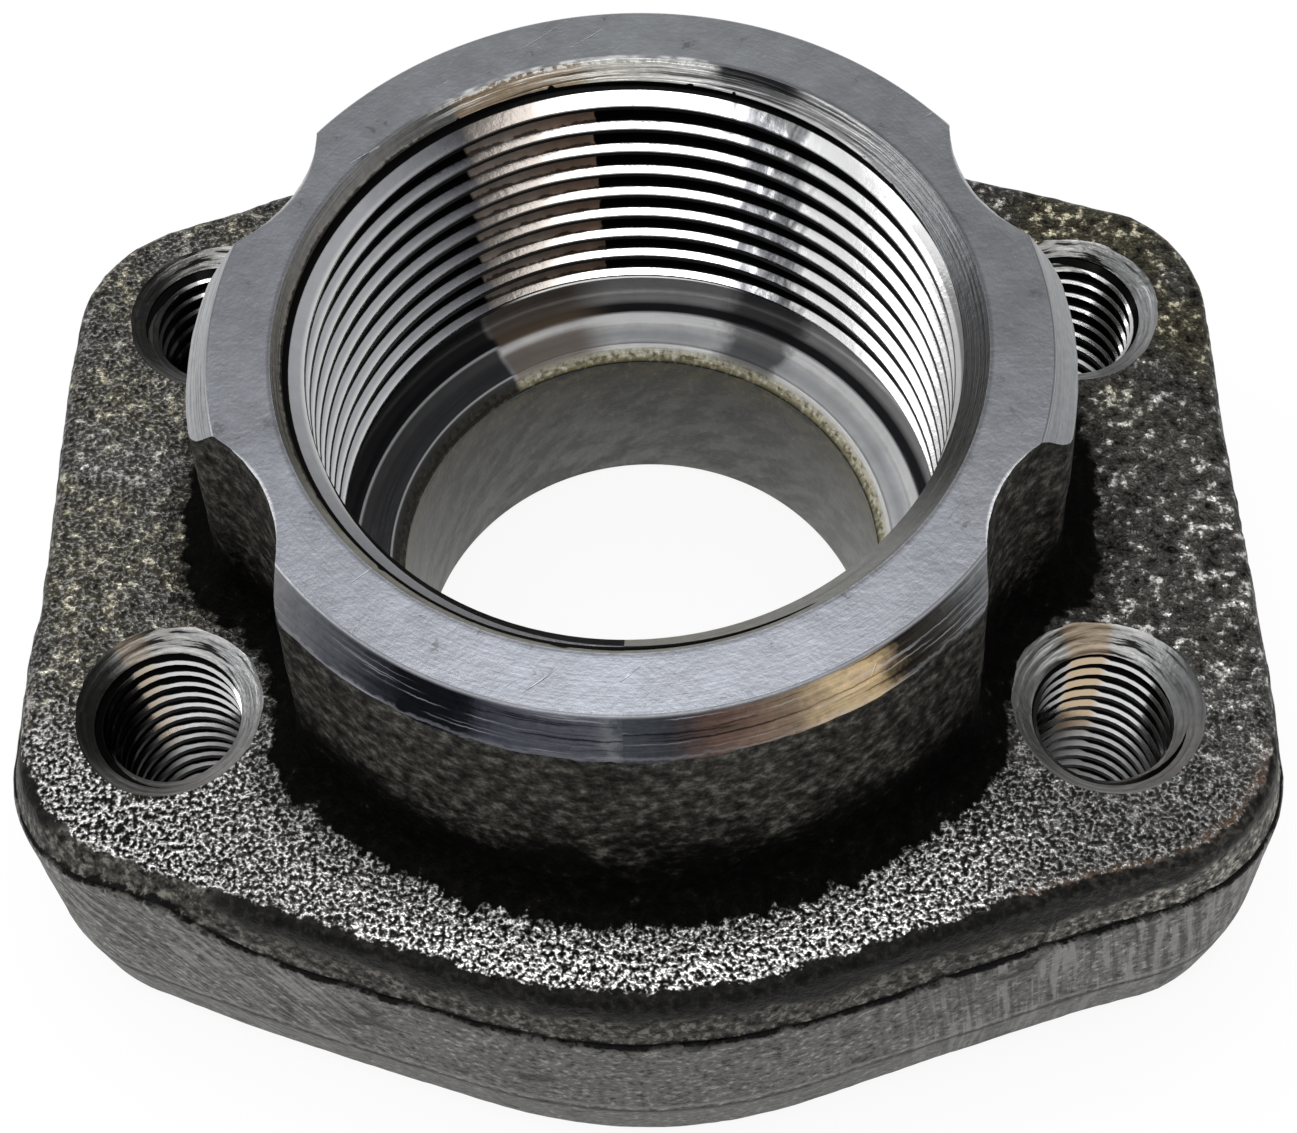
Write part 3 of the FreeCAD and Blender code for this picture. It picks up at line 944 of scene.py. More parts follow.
def turned_face(recipe):
    """The hub's turned end face and chamfer, with tool marks, scratches and stains, and painted
    sheen, reflections and highlights.
    """
    place = Place(recipe)
    radius, z, degrees = place.radius, place.z, place.degrees
    marks = streaks(recipe, radius * 6.5, place.turn * 9.0, 1.0, 3.0)
    mottle = place.speckle(recipe, 0.55, 4.0, 0.68, 2.0)
    grit = place.speckle(recipe, 2.0, 2.0, 0.6, 7.0)
    scored = scratches(recipe, place, (0.5, 34.0), (0.9, 43.0))
    # Painted sheen: the face is lighter and darker round the bore as its turning marks catch the
    # light
    face = round_ramp(recipe, place.turn, [
        (-90, (0.200, 0.212, 0.244)), (-40, (0.152, 0.158, 0.180)), (0, (0.098, 0.103, 0.113)),
        (45, (0.145, 0.152, 0.163)), (90, (0.196, 0.206, 0.220)), (135, (0.160, 0.167, 0.184)),
        (180, (0.132, 0.138, 0.157)), (225, (0.170, 0.179, 0.206)), (270, (0.200, 0.212, 0.244))])
    soft = place.speckle(recipe, 0.30, 2.0, 0.5, 15.0)
    face = toned(recipe, face, 0.32 + mottle * 0.64 + marks * 0.10 + grit * 0.16 + soft * 0.52)
    face = layered(recipe, face, (
        (scored * 0.4, (0.50, 0.52, 0.56)),
        (mottle.ramp(0.36, 0.33) * 0.6, (0.045, 0.048, 0.055))))

    lines = streaks(recipe, z * 6.0 + mottle * 1.5, place.turn * 16.0, 2.0, 3.0)
    # Painted reflections round the chamfer: a bright gold sector, dark sectors and lighter bands
    # by angle
    chamfer = round_ramp(recipe, place.turn + (mottle - 0.5) * 0.022, [
        (-90, (0.10, 0.11, 0.13)), (-84, (0.07, 0.075, 0.088)), (-80, (0.17, 0.110, 0.092)),
        (-74, (0.27, 0.180, 0.140)), (-69, (0.36, 0.270, 0.190)), (-63, (0.90, 0.69, 0.42)),
        (-57.5, (0.80, 0.59, 0.33)), (-54, (0.030, 0.024, 0.018)), (-47, (0.050, 0.046, 0.041)),
        (-41, (0.17, 0.175, 0.18)), (-34, (0.30, 0.31, 0.33)), (20, (0.26, 0.27, 0.28)),
        (90, (0.30, 0.31, 0.33)), (200, (0.38, 0.385, 0.40)), (213, (0.34, 0.335, 0.345)),
        (224, (0.18, 0.183, 0.20)), (236, (0.065, 0.070, 0.088)), (242, (0.008, 0.009, 0.012)),
        (250, (0.010, 0.011, 0.015)), (253.5, (0.10, 0.105, 0.135)), (267, (0.15, 0.155, 0.185)),
        (268.5, (0.26, 0.27, 0.29)), (269.5, (0.12, 0.13, 0.15))])
    calm = degrees.ramp(185.0, 200.0) * degrees.ramp(240.0, 228.0)
    calm = (calm + degrees.ramp(-44.0, -36.0) * degrees.ramp(20.0, 5.0)).least(1.0)
    busy = 1.0 - calm * 0.75
    chamfer = toned(recipe, chamfer, 0.8 + (lines - 0.5) * busy * 1.3 + (grit - 0.5) * 0.5)
    # Painted highlight: a faint lighter line along the chamfer's lower edge
    low_edge = (z - 38.85 + (mottle - 0.5) * 0.8).bump_at(0.0, 0.16)
    chamfer = layered(recipe, chamfer, (
        (lines.ramp(0.60, 0.68) * busy * 0.55, (0.50, 0.51, 0.55)),
        (lines.ramp(0.42, 0.34) * busy * 0.7, (0.010, 0.010, 0.012)),
        (low_edge * 0.3, (0.40, 0.41, 0.44))))
    behind = degrees.ramp(73.0, 80.0) * degrees.ramp(132.0, 118.0)
    glint_share = streaks(recipe, place.turn * 60.0, radius * 0.6, 21.0, 2.0).ramp(0.42, 0.56)
    mouth = radius.bump_at(21.42, 0.22)
    burr = noted(recipe, "off_hub").ramp(-1.10, -0.90) * z.ramp(41.10, 41.18)
    # Painted highlights along the face's rounded outer edge, along the mouth at the back broken by
    # streaks, and on the burr where the face meets the forged wall; painted shade round the rest
    # of the mouth
    metal_tone = layered(recipe, blended(recipe, z.ramp(40.95, 41.08), chamfer, face), (
        (z.bump_at(41.13, 0.10) * 0.45, (0.75, 0.76, 0.78)),
        (mouth * glint_share * behind * 0.8, (0.85, 0.86, 0.86)),
        (mouth * (1.0 - behind) * 0.5, (0.055, 0.058, 0.062)),
        (burr * 0.75, (0.62, 0.63, 0.64))))
    height = marks * 0.4 + mottle * 1.5 + grit - scored * 1.5
    return steel(recipe, metal_tone, 1.0, 0.28 + mottle * 0.12, height, 0.016)


def faced_steel(recipe):
    """The sealing face: fine rings of a facing cut, with scratches and a few stains."""
    place = Place(recipe)
    mottle = place.speckle(recipe, 0.35, 4.0, 0.62, 12.0)
    grit = place.speckle(recipe, 2.0, 2.0, 0.6, 3.0)
    marks = streaks(recipe, place.radius * 5.0, place.turn * 7.0, 6.0, 3.0)
    scored = scratches(recipe, place, (1.2, 14.0), (2.8, 19.0))
    tone = toned(recipe, (0.27, 0.275, 0.285), 0.50 + mottle * 0.45 + marks * 0.45 + grit * 0.2)
    stain = mottle.ramp(0.60, 0.70)
    tone = layered(recipe, tone, (
        (scored * 0.5, (0.55, 0.56, 0.58)), (stain * 0.6, (0.10, 0.072, 0.048))))
    height = marks * 2.0 + grit * 0.5 - scored
    return steel(recipe, tone, 1.0 - stain * 0.4, 0.30 + mottle * 0.12, height, 0.018)


def bore_steel(recipe):
    """Lead-in cone, relief groove, lip, shoulder, rough bevel and plain bore, with painted
    highlights, shadows and reflections.
    """
    place = Place(recipe)
    radius, z, degrees = place.radius, place.z, place.degrees
    mottle = place.speckle(recipe, 0.55, 4.0, 0.66, 4.0)
    grit = place.speckle(recipe, 2.0, 3.0, 0.65, 6.0)
    lines = streaks(recipe, z * 7.0 + radius * 3.0 + mottle * 1.2, place.turn * 14.0, 3.0, 3.0)

    # Painted highlights in white on the lip's bevel and the shoulder's edge, and painted shadow in
    # black at the bore's upper edge and beside the lip
    low = ramped(recipe, (radius - 15.5) / 6.0 + (mottle - 0.5) * 0.008, [
        (0.0, (0.10, 0.10, 0.095)), (0.104, (0.006, 0.006, 0.004)), (0.122, (0.30, 0.27, 0.15)),
        (0.150, (0.60, 0.56, 0.40)), (0.200, (0.78, 0.75, 0.62)), (0.212, 1.0), (0.236, 1.0),
        (0.248, (0.30, 0.305, 0.31)), (0.28, (0.60, 0.61, 0.63)), (0.38, (0.46, 0.475, 0.50)),
        (0.49, (0.66, 0.67, 0.69)), (0.515, 0.72), (0.53, 1.0), (0.600, 1.0),
        (0.610, (0.50, 0.51, 0.53)), (0.625, (0.012, 0.012, 0.015)),
        (0.725, (0.018, 0.018, 0.020)), (0.80, (0.46, 0.46, 0.465)),
        (0.93, (0.66, 0.66, 0.665))])
    low = toned(recipe, low, 0.55 + mottle * 0.5 + lines * 0.4)
    # The plain bore: darker towards the top, with a yellowish stain and a painted shadow in black
    # under the bevel's edge
    flow = ramped(recipe, (z + (mottle - 0.5) * 3.0) / 15.0, [
        (0.0, (0.16, 0.16, 0.152)), (0.55, (0.098, 0.098, 0.092)), (0.80, (0.070, 0.067, 0.052)),
        (0.925, (0.060, 0.052, 0.017)), (0.955, (0.004, 0.004, 0.003))])
    patches = streaks(recipe, place.turn * 50.0 + z * 0.5, z * 0.3 - place.turn * 12.0, 8.0, 3.0)
    # Painted light: the plain bore is lighter on its left and right walls
    flow = toned(recipe, flow, 0.05 + mottle * 0.8 + grit * 0.35 + patches.ramp(0.38, 0.62) * 0.65
                 + degrees.ramp(150.0, 215.0) * 1.5 + degrees.ramp(65.0, 15.0) * 0.7)
    plain = radius.ramp(16.15, 16.11)
    torn = streaks(recipe, place.turn * 260.0, radius * 2.0 + z * 1.2, 5.0, 3.0)
    bevel = radius.bump_at(16.45, 0.40)
    wide = radius.ramp(16.3, 16.9)
    lip = radius.bump_at(18.90, 0.36)
    # Painted reflection: a brownish sector at the back of the groove and shoulder
    brown = degrees.ramp(96.0, 106.0) * degrees.ramp(123.0, 121.5) * wide * (1.0 - lip * 0.8)
    # Painted shade over the groove and shoulder on the left, together with dark smears on the
    # right
    dim = degrees.ramp(121.5, 123.5) * degrees.ramp(262.0, 235.0)
    spots = (mottle - 0.5) * 8.0
    spotted = (degrees + spots).ramp(55.0, 59.0) * (degrees + spots).ramp(75.0, 69.0) * 0.75
    shade_and_smears = (dim * radius.ramp(16.12, 16.20) * 0.94 + spotted * wide).least(1.0)
    # Painted highlights: white lines on the lip's edge and the shoulder's edge inside the shaded
    # part
    rings = (radius.bump_at(19.20, 0.14) + radius.bump_at(16.95, 0.12)) * dim
    low = layered(recipe, low, (
        (plain, flow), (bevel * torn.ramp(0.52, 0.60) * 0.75, (0.11, 0.095, 0.045)),
        (bevel * torn.ramp(0.46, 0.38) * 0.8, (1.0, 0.98, 0.88)),
        (brown * 0.8, (0.155, 0.112, 0.08)), (shade_and_smears, (0.010, 0.010, 0.012)),
        (rings * 0.85, (0.60, 0.61, 0.62))))

    # Painted reflections round the lead-in cone by angle, bright at the back with a brownish
    # sector beside it
    cone = round_ramp(recipe, place.turn + (mottle - 0.5) * 0.012, [
        (-90, (0.42, 0.41, 0.37)), (-40, (0.36, 0.36, 0.35)), (10, (0.19, 0.195, 0.205)),
        (30, (0.24, 0.245, 0.255)), (45, (0.40, 0.40, 0.41)), (58, (0.46, 0.46, 0.47)),
        (62, (0.20, 0.20, 0.205)), (73, (0.24, 0.24, 0.245)), (78, (0.84, 0.84, 0.83)),
        (97, (0.80, 0.77, 0.68)), (101, (0.58, 0.46, 0.33)), (121, (0.42, 0.32, 0.225)),
        (123.5, (0.15, 0.148, 0.143)), (145, (0.38, 0.375, 0.365)), (180, (0.37, 0.36, 0.335)),
        (230, (0.36, 0.35, 0.30)), (270, (0.42, 0.41, 0.37))])
    back = degrees.ramp(34.0, 52.0) * degrees.ramp(130.0, 118.0)
    cone = toned(recipe, cone, 0.75 + (lines - 0.5) * (0.4 + back * 1.1) + (grit - 0.5) * 0.5)
    ragged = (mottle - 0.5) * 0.5 + (grit - 0.5) * 0.35
    rim = (z + ragged * 0.5).ramp(40.98, 41.06) * grit.ramp(0.44, 0.54)
    rim = rim * degrees.ramp(73.0, 78.0) * back
    wedge = degrees.ramp(57.0, 63.0) * degrees.ramp(76.5, 74.0)
    wedge = (z + ragged * 0.3).ramp(40.68, 40.80) * wedge
    over = z - (40.119 + (place.turn - 0.5) * 1.524)
    shine = over.bump_at(0.13, 0.10) * degrees.ramp(40.0, 46.0) * degrees.ramp(80.0, 74.0)
    nicks = streaks(recipe, place.turn * 90.0, z * 1.4, 11.0, 2.0).ramp(0.56, 0.76) * 0.20
    left = degrees.ramp(124.0, 132.0) * degrees.ramp(225.0, 205.0)
    burr = (over + ragged * 0.7).ramp(0.19, 0.10) * left
    glint = (over + ragged * 0.7).bump_at(0.23, 0.07) * left * grit.ramp(0.42, 0.52)
    # Painted highlights: bright streaks and a broken bright rim at the back of the cone, and a
    # bright line along the thread's start; painted shade in black below that start
    cone = layered(recipe, cone, (
        (lines.ramp(0.54, 0.62) * back * 0.75, (1.0, 1.0, 0.98)),
        (lines.ramp(0.43, 0.36) * (0.2 + back * 0.55), 0.035),
        (rim * 0.8, (1.0, 1.0, 0.97)), (wedge * 0.92, (0.014, 0.014, 0.017)),
        (shine * 0.85, 1.0),
        ((over - nicks + ragged * 0.2).ramp(0.03, -0.02), 0.003),
        (burr * 0.85, (0.022, 0.019, 0.010)), (glint * 0.6, (0.42, 0.40, 0.30))))
    steel_tone = blended(recipe, z.ramp(39.0, 39.2), low, cone)
    front = (degrees.ramp(-20.0, -50.0) + degrees.ramp(195.0, 225.0)).least(1.0)
    metallic = 0.15 + z.ramp(38.0, 39.0) * (0.85 - front * 0.7)
    height = lines + mottle + grit * (0.6 + bevel * 3.0)
    return steel(recipe, steel_tone, metallic, 0.30 + plain * 0.14, height, 0.035, 0.3)


def lit_flank(recipe):
    """1 where the surface looks up the axis, 0 where it looks level or down: where the threads'
    highlights are painted.
    """
    way = recipe.add("ShaderNodeNewGeometry", output="True Normal")
    return axes(recipe, way)[2].ramp(0.48, 0.62)


def thread_steel(recipe):
    """The pipe thread: each upper flank carries a painted highlight inside a radius, and painted
    shade in black outside it.
    """
    bore = bpy.context.scene.flange_bore
    place = Place(recipe)
    radius, degrees = place.radius, place.degrees
    mottle = place.speckle(recipe, 0.6, 3.0, 0.6, 9.0)
    grit = place.speckle(recipe, 2.2, 2.0, 0.6, 2.0)
    lead = (place.turn - (0.25 + bore.thread_phase / (2 * math.pi))) * (bore.pitch / MM)
    rise = place.z - lead
    first = rise.ramp(36.75, 36.80)
    # Painted light: the flanks are lighter or darker by angle round the bore
    flank = round_ramp(recipe, place.turn + (mottle - 0.5) * 0.010, [
        (-90, (0.42, 0.425, 0.45)), (-40, 0.60), (0, 0.85), (36, 1.0), (99, 1.0),
        (104, (0.52, 0.49, 0.46)),
        (109, (0.23, 0.208, 0.19)), (121.3, (0.145, 0.130, 0.118)), (122.6, (0.06, 0.061, 0.070)),
        (134, (0.25, 0.254, 0.272)), (150, (0.48, 0.485, 0.51)), (185, (0.50, 0.505, 0.53)),
        (270, (0.42, 0.425, 0.45))])
    flank = toned(recipe, flank, 0.85 + mottle * 0.25 + grit * 0.15)
    cloud = streaks(recipe, place.turn * 130.0, place.z * 0.9, 25.0, 1.0)
    patchy = ramped(recipe, cloud + (grit - 0.5) * 0.10, [
        (0.36, (0.10, 0.102, 0.110)), (0.50, (0.21, 0.212, 0.222)), (0.60, (0.34, 0.342, 0.35)),
        (0.72, 0.85)])
    spot = degrees + (cloud - 0.5) * 12.0
    flank = blended(recipe, spot.ramp(54.5, 58.5) * spot.ramp(75.0, 68.0), flank, patchy)
    right = degrees.ramp(42.0, 26.0)
    # Painted shade on the outer part of the flanks on the right
    flank = toned(recipe, flank, 1.0 - right * (radius.ramp(19.78, 19.90) * 0.55 + first * 0.12))
    left = degrees.ramp(118.0, 175.0) * degrees.ramp(240.0, 215.0)
    # Painted highlight along the crest edge on the left
    flank = blended(recipe, radius.ramp(19.84, 19.52) * left * 0.9, flank, 0.97)
    reach = 19.96 + abs(degrees - 90.0).ramp(15.0, 50.0) * 0.10
    reach = reach + first * (20.40 - reach) + (grit - 0.5) * 0.02
    upper = lit_flank(recipe)
    # Painted highlight within the reach; painted shade in black beyond it, on crests, roots and
    # lower flanks
    bright = upper * (radius - reach).ramp(0.03, -0.03)
    ends = 97.5 + (mottle - 0.5) * 3.0
    # Painted reflection: a brownish sector at the back, darkened towards the root by painted shade
    brown = upper * (degrees - ends).ramp(-0.2, 0.2) * degrees.ramp(122.6, 121.8)
    brown = brown * (1.0 - bright) * (1.0 - first)
    rust_and_reflected_brown = blended(recipe, degrees.ramp(100.0, 119.0), (0.40, 0.27, 0.20), (0.50, 0.42, 0.36))
    rust_and_reflected_brown = toned(recipe, rust_and_reflected_brown, 0.35 + mottle * 1.2)
    root_shade = (radius - reach + (mottle - 0.5) * 0.7 + (grit - 0.5) * 0.3).ramp(0.20, 0.10)
    rust_and_reflected_brown = blended(recipe, root_shade * 0.85, rust_and_reflected_brown, (0.035, 0.024, 0.018))
    base = blended(recipe, brown, 0.0025, rust_and_reflected_brown)
    base = blended(recipe, bright, base, flank)
    # Painted highlight along the last turn's edge
    last = rise.bump_at(18.72, 0.22) * radius.ramp(19.60, 19.55)
    last = last * degrees.ramp(66.0, 74.0) * degrees.ramp(122.0, 112.0)
    base = blended(recipe, last * 0.9, base, 0.95)
    metallic = (bright + last - brown * 0.9).greatest(0.0).least(1.0)
    return steel(recipe, base, metallic, 0.14 + mottle * 0.05, mottle + grit, 0.010, 0.03)


def hole_sides(place):
    """Distance from, and angle in degrees round, the nearest bolt hole's axis."""
    bolts = bpy.context.scene.flange_bolts
    across = abs(place.x) - bolts.spacing_x / 2 / MM
    along = abs(place.y) - bolts.spacing_y / 2 / MM
    east = across * ((place.x > 0) * 2 - 1)
    north = along * ((place.y > 0) * 2 - 1)
    degrees = north.angle_to(east) * (180 / math.pi)
    return (across * across + along * along).root(), degrees


def tan_sector(place, degrees):
    """The warm reflection that the two front holes hold at their far side."""
    right = (place.x > 0) * degrees.ramp(78.0, 88.0) * degrees.ramp(120.0, 110.0)
    left = (place.x < 0) * degrees.ramp(108.0, 116.0) * degrees.ramp(136.0, 129.0) * 0.5
    return (place.y < 0) * (right + left)


def sunk_steel(recipe):
    """Countersinks: rough turned rings, painted lighter by angle, with painted highlights on the
    rings, painted shade on the left and a painted tan reflection at the far side of the front
    holes.
    """
    place = Place(recipe)
    reach, degrees = hole_sides(place)
    mottle = place.speckle(recipe, 0.7, 4.0, 0.66, 4.0)
    grit = place.speckle(recipe, 2.0, 2.0, 0.6, 1.0)
    rings = streaks(recipe, reach * 4.2 + mottle * 0.8, degrees * 0.02, 2.0, 3.0)
    # Painted light: each countersink is lightest on its right and far right, darkest on its left
    tone = ramped(recipe, (degrees + 180) / 360, [
        (0.0, (0.16, 0.16, 0.155)), (0.12, (0.17, 0.17, 0.165)), (0.25, 0.28),
        (0.38, (0.44, 0.44, 0.45)), (0.5, (0.56, 0.57, 0.58)), (0.62, (0.66, 0.67, 0.68)),
        (0.72, (0.62, 0.62, 0.61)), (0.80, (0.46, 0.45, 0.43)), (0.88, (0.22, 0.22, 0.21)),
        (1.0, (0.16, 0.16, 0.155))])
    # The rings' bright and dark lines are painted with more contrast at the far side, where they
    # catch the light
    far = abs(degrees - 85.0).ramp(75.0, 30.0)
    tone = toned(recipe, tone, 1.1 + (rings - 0.5) * (0.7 + far * 1.6) + (grit - 0.5) * 0.7)
    tone = layered(recipe, tone, (
        (rings.ramp(0.53, 0.61) * (0.15 + far * 0.6), (1.0, 1.0, 0.99)),
        (rings.ramp(0.48, 0.41) * (0.2 + far * 0.75), (0.014, 0.014, 0.012))))
    # Painted shade on the left side of the left holes
    tone = toned(recipe, tone, 1.0 - (place.x < 0) * abs(degrees).ramp(115.0, 150.0) * 0.7)
    # Painted reflection: a tan sheen at the far side of the front holes
    tan = toned(recipe, (0.62, 0.47, 0.32), (rings * 3.2 - 0.8).greatest(0.08))
    tone = blended(recipe, tan_sector(place, degrees) * 0.85, tone, tan)
    return steel(recipe, tone, 0.85, 0.36, rings + mottle + grit, 0.05)


def bolt_thread_steel(recipe):
    """Threads of the bolt holes: painted highlights on the upper flanks, between crests painted
    black as shade.
    """
    place = Place(recipe)
    reach, degrees = hole_sides(place)
    grit = place.speckle(recipe, 2.4, 2.0, 0.6, 9.0)
    gold = tan_sector(place, degrees)
    # Painted highlight on the upper flanks within a reach; painted shade in black elsewhere
    limit = reach + (grit - 0.5) * 0.06 - gold * 0.14
    bright = lit_flank(recipe) * limit.ramp(4.48, 4.42)
    # Painted light: the flanks are lighter towards the right and far side
    lit = abs(degrees - 40).ramp(115.0, 55.0)
    flank = toned(recipe, blended(recipe, lit, 0.03, 1.0),
                  0.85 + grit * 0.3)
    # Painted reflection: tan in the upper threads at the far side of the front holes
    tan = gold * place.z.ramp(8.5, 11.0)
    flank = blended(recipe, tan * 0.9, flank, (0.80, 0.60, 0.38))
    base = blended(recipe, bright, 0.0025, flank)
    roughness = 0.12 + place.z.ramp(15.0, 9.0) * 0.2
    return steel(recipe, base, bright, roughness, grit, 0.004, 0.03)


# Operators, one for each group of like pieces

class FLANGE_OT_forge(bpy.types.Operator):
    """Lay the forged blank: plate, hub, scallops and rounded foot"""
    bl_idname = "flange.forge"
    bl_label = "Forge the blank"

    def execute(self, context):
        scene = context.scene
        quirks = scene.flange_quirks
        steps = scene.flange_detail.around
        angle = np.arange(steps) * 2 * math.pi / steps
        laid = blank_rings(angle, scene.flange_plate, scene.flange_hub, scene.flange_bolts, quirks)
        rings = roughened([ring for ring, _ in laid], [finish for _, finish in laid], quirks)
        mesh = closed_rings(PIECE, rings, 0.0, float(rings[-1][0][2]))
        mesh.materials.append(metal("forged_skin", forged_skin))
        mesh.materials.append(metal("faced_steel", faced_steel))
        for face in mesh.polygons:
            if all(abs(mesh.vertices[corner].co.z) < LEVEL for corner in face.vertices):
                face.material_index = 1
        add_object(PIECE, outward(mesh))
        return {"FINISHED"}


class FLANGE_OT_turn_hub(bpy.types.Operator):
    """Turn the hub's end face and chamfer"""
    bl_idname = "flange.turn_hub"
    bl_label = "Turn the hub"

    def execute(self, context):
        hub = context.scene.flange_hub
        top, over = hub.height, hub.height + 4 * REACH
        slope = (hub.radius - hub.face_radius) / hub.chamfer_height
        low = top - hub.chamfer_height - 1.2 * REACH
        wide = hub.face_radius + slope * (top - low)
        round_edge = 0.07 * MM
        profile = [(0, top), (12 * MM, top), (hub.face_radius - round_edge, top),
                   (hub.face_radius + slope * round_edge, top - round_edge),
                   (wide, low), (wide, over), (0, over)]
        mesh = turned_mesh("turning", profile, context.scene.flange_detail.turned)
        mesh.materials.append(metal("turned_face", turned_face))
        take_off(bpy.data.objects[PIECE], add_object("turning", mesh))
        return {"FINISHED"}


class FLANGE_OT_bore(bpy.types.Operator):
    """Bore the flange through and cut its pipe thread"""
    bl_idname = "flange.bore"
    bl_label = "Bore and thread"

    def execute(self, context):
        scene = context.scene
        bore, hub = scene.flange_bore, scene.flange_hub
        steps = scene.flange_detail.turned
        top = hub.height
        relief_top = top - bore.thread_length
        relief_floor = relief_top - bore.relief_width
        shoulder = relief_floor - bore.lip_bevel
        corner, edge, nick = 0.6 * MM, 0.4 * MM, 0.08 * MM
        crest, relief, lip = bore.crest_radius, bore.relief_radius, bore.lip_radius
        flow, mouth = bore.flow_radius, bore.mouth_radius
        rounded = [(relief - corner + corner * math.cos(k * math.pi / 8),
                    relief_floor + corner - corner * math.sin(k * math.pi / 8))
                   for k in range(5)]
        profile = [(0, -REACH), (flow + 0.9 * REACH, -REACH), (flow + edge, 0.0), (flow, edge),
                   (flow, shoulder - bore.flow_bevel),
                   (bore.shoulder_radius - nick, shoulder - nick * 1.3),
                   (bore.shoulder_radius + nick, shoulder),
                   (lip - bore.lip_bevel, shoulder),
                   (lip - nick, relief_floor - nick * 0.5), (lip + nick, relief_floor)]
        profile += rounded[::-1]
        profile += [(relief, relief_top - 0.1 * MM), (relief - 0.3 * MM, relief_top),
                    (crest - OVERLAP, relief_top + 0.9 * MM),
                    (crest - OVERLAP, top - mouth + crest - OVERLAP),
                    (mouth + REACH, top + REACH), (mouth + REACH, top + 2 * REACH),
                    (0, top + 2 * REACH)]
        cutter = turned_mesh("boring", profile, steps)
        cutter.materials.append(metal("bore_steel", bore_steel))
        blank = bpy.data.objects[PIECE]
        take_off(blank, add_object("boring", cutter))
        screw = wound_screw("pipe_screw", PIPE_FORM, {
            "Crest Radius": crest, "Root Radius": bore.root_radius, "Pitch": bore.pitch,
            "Start Height": relief_floor + 0.2 * MM, "Phase": bore.thread_phase,
            "Turns": PIPE_TURNS, "Segments": scene.flange_detail.thread,
            "Metal": metal("thread_steel", thread_steel)})
        take_off(blank, screw)
        return {"FINISHED"}


class FLANGE_OT_tap_bolts(bpy.types.Operator):
    """Drill, countersink and tap the four bolt holes"""
    bl_idname = "flange.tap_bolts"
    bl_label = "Tap the bolt holes"

    def execute(self, context):
        scene = context.scene
        bolts, plate = scene.flange_bolts, scene.flange_plate
        crest, sink, out = bolts.crest_radius, bolts.sink_radius, bolts.exit_radius
        top = plate.thickness
        deep = top - (sink - crest)
        wide, over = 0.5 * REACH, 8 * REACH
        profile = [(0, -REACH), (out + REACH, -REACH), (crest - OVERLAP, out - crest + OVERLAP),
                   (crest - OVERLAP, deep), (sink, top), (sink + wide, top + wide),
                   (sink + wide, top + over), (0, top + over)]
        blank = bpy.data.objects[PIECE]
        for number, (x, y) in enumerate(bolt_centres(bolts)):
            place = Matrix.Translation((x, y, 0))
            drill = turned_mesh("drill", profile, DRILL_STEPS)
            drill.transform(place)
            drill.materials.append(metal("sunk_steel", sunk_steel))
            take_off(blank, add_object("drill", drill))
            tap = wound_screw("bolt_screw", BOLT_FORM, {
                "Crest Radius": crest, "Root Radius": bolts.root_radius, "Pitch": bolts.pitch,
                "Start Height": -2.6 * MM, "Phase": 1.3 * number, "Turns": BOLT_TURNS,
                "Segments": scene.flange_detail.bolt_thread,
                "Metal": metal("bolt_thread_steel", bolt_thread_steel)})
            tap.data.transform(place)
            take_off(blank, tap)
        return {"FINISHED"}


def note_places(piece, scene):
    """Writes on each point its place above the band, off the hub and in from the edge."""
    mesh = piece.data
    places = np.empty(len(mesh.vertices) * 3)
    mesh.vertices.foreach_get("co", places)
    x, y, z = places.reshape(-1, 3).T
    plate, hub, quirks = scene.flange_plate, scene.flange_hub, scene.flange_quirks
    foot = (hub.height - hub.chamfer_height - plate.thickness) * math.tan(hub.draft)
    off = np.hypot(x, y) - hub_distance(np.arctan2(y, x), hub, scene.flange_bolts, quirks, foot)
    y = y - quirks.plate_shift
    angle = np.arctan2(y, x)
    above = z - plate.band_top - flash_rise(angle)
    across = np.maximum(np.abs(np.cos(angle)), 0.9)
    outline = plate_distance(angle, plate, 0.0) + outline_drift(angle)
    edge = (outline - np.hypot(x, y)) * across
    for name, values in (("above_band", above), ("off_hub", off), ("from_edge", edge)):
        noted_on = mesh.attributes.new(name, "FLOAT", "POINT")
        noted_on.data.foreach_set("value", (values / MM).astype(np.float32))


def drop_folded(work):
    """Takes out slivers that lie face to face on the same corners, as merging leaves them."""
    pairs = {}
    for face in work.faces:
        pairs.setdefault(frozenset(face.verts), []).append(face)
    folded = [face for pair in pairs.values() if len(pair) > 1 for face in pair]
    bmesh.ops.delete(work, geom=folded, context="FACES")


def crisp_edges(mesh, angle):
    """Smooth shading, broken where the finish changes or the surface bends sharply."""
    for face in mesh.polygons:
        face.use_smooth = True
    mesh.set_sharp_from_angle(angle=angle)
    with opened(mesh) as work:
        for edge in work.edges:
            faces = edge.link_faces
            if len(faces) == 2 and faces[0].material_index != faces[1].material_index:
                edge.smooth = False


def weigh_normals(piece):
    """Lets large faces keep their own normals beside narrow rounded edges."""
    modifier = piece.modifiers.new("weigh", "WEIGHTED_NORMAL")
    modifier.mode = "FACE_AREA_WITH_ANGLE"
    modifier.keep_sharp = True
    modifier.weight = 60
    mesh = plain_mesh(piece, piece.name)
    piece.modifiers.clear()
    piece.data = mesh


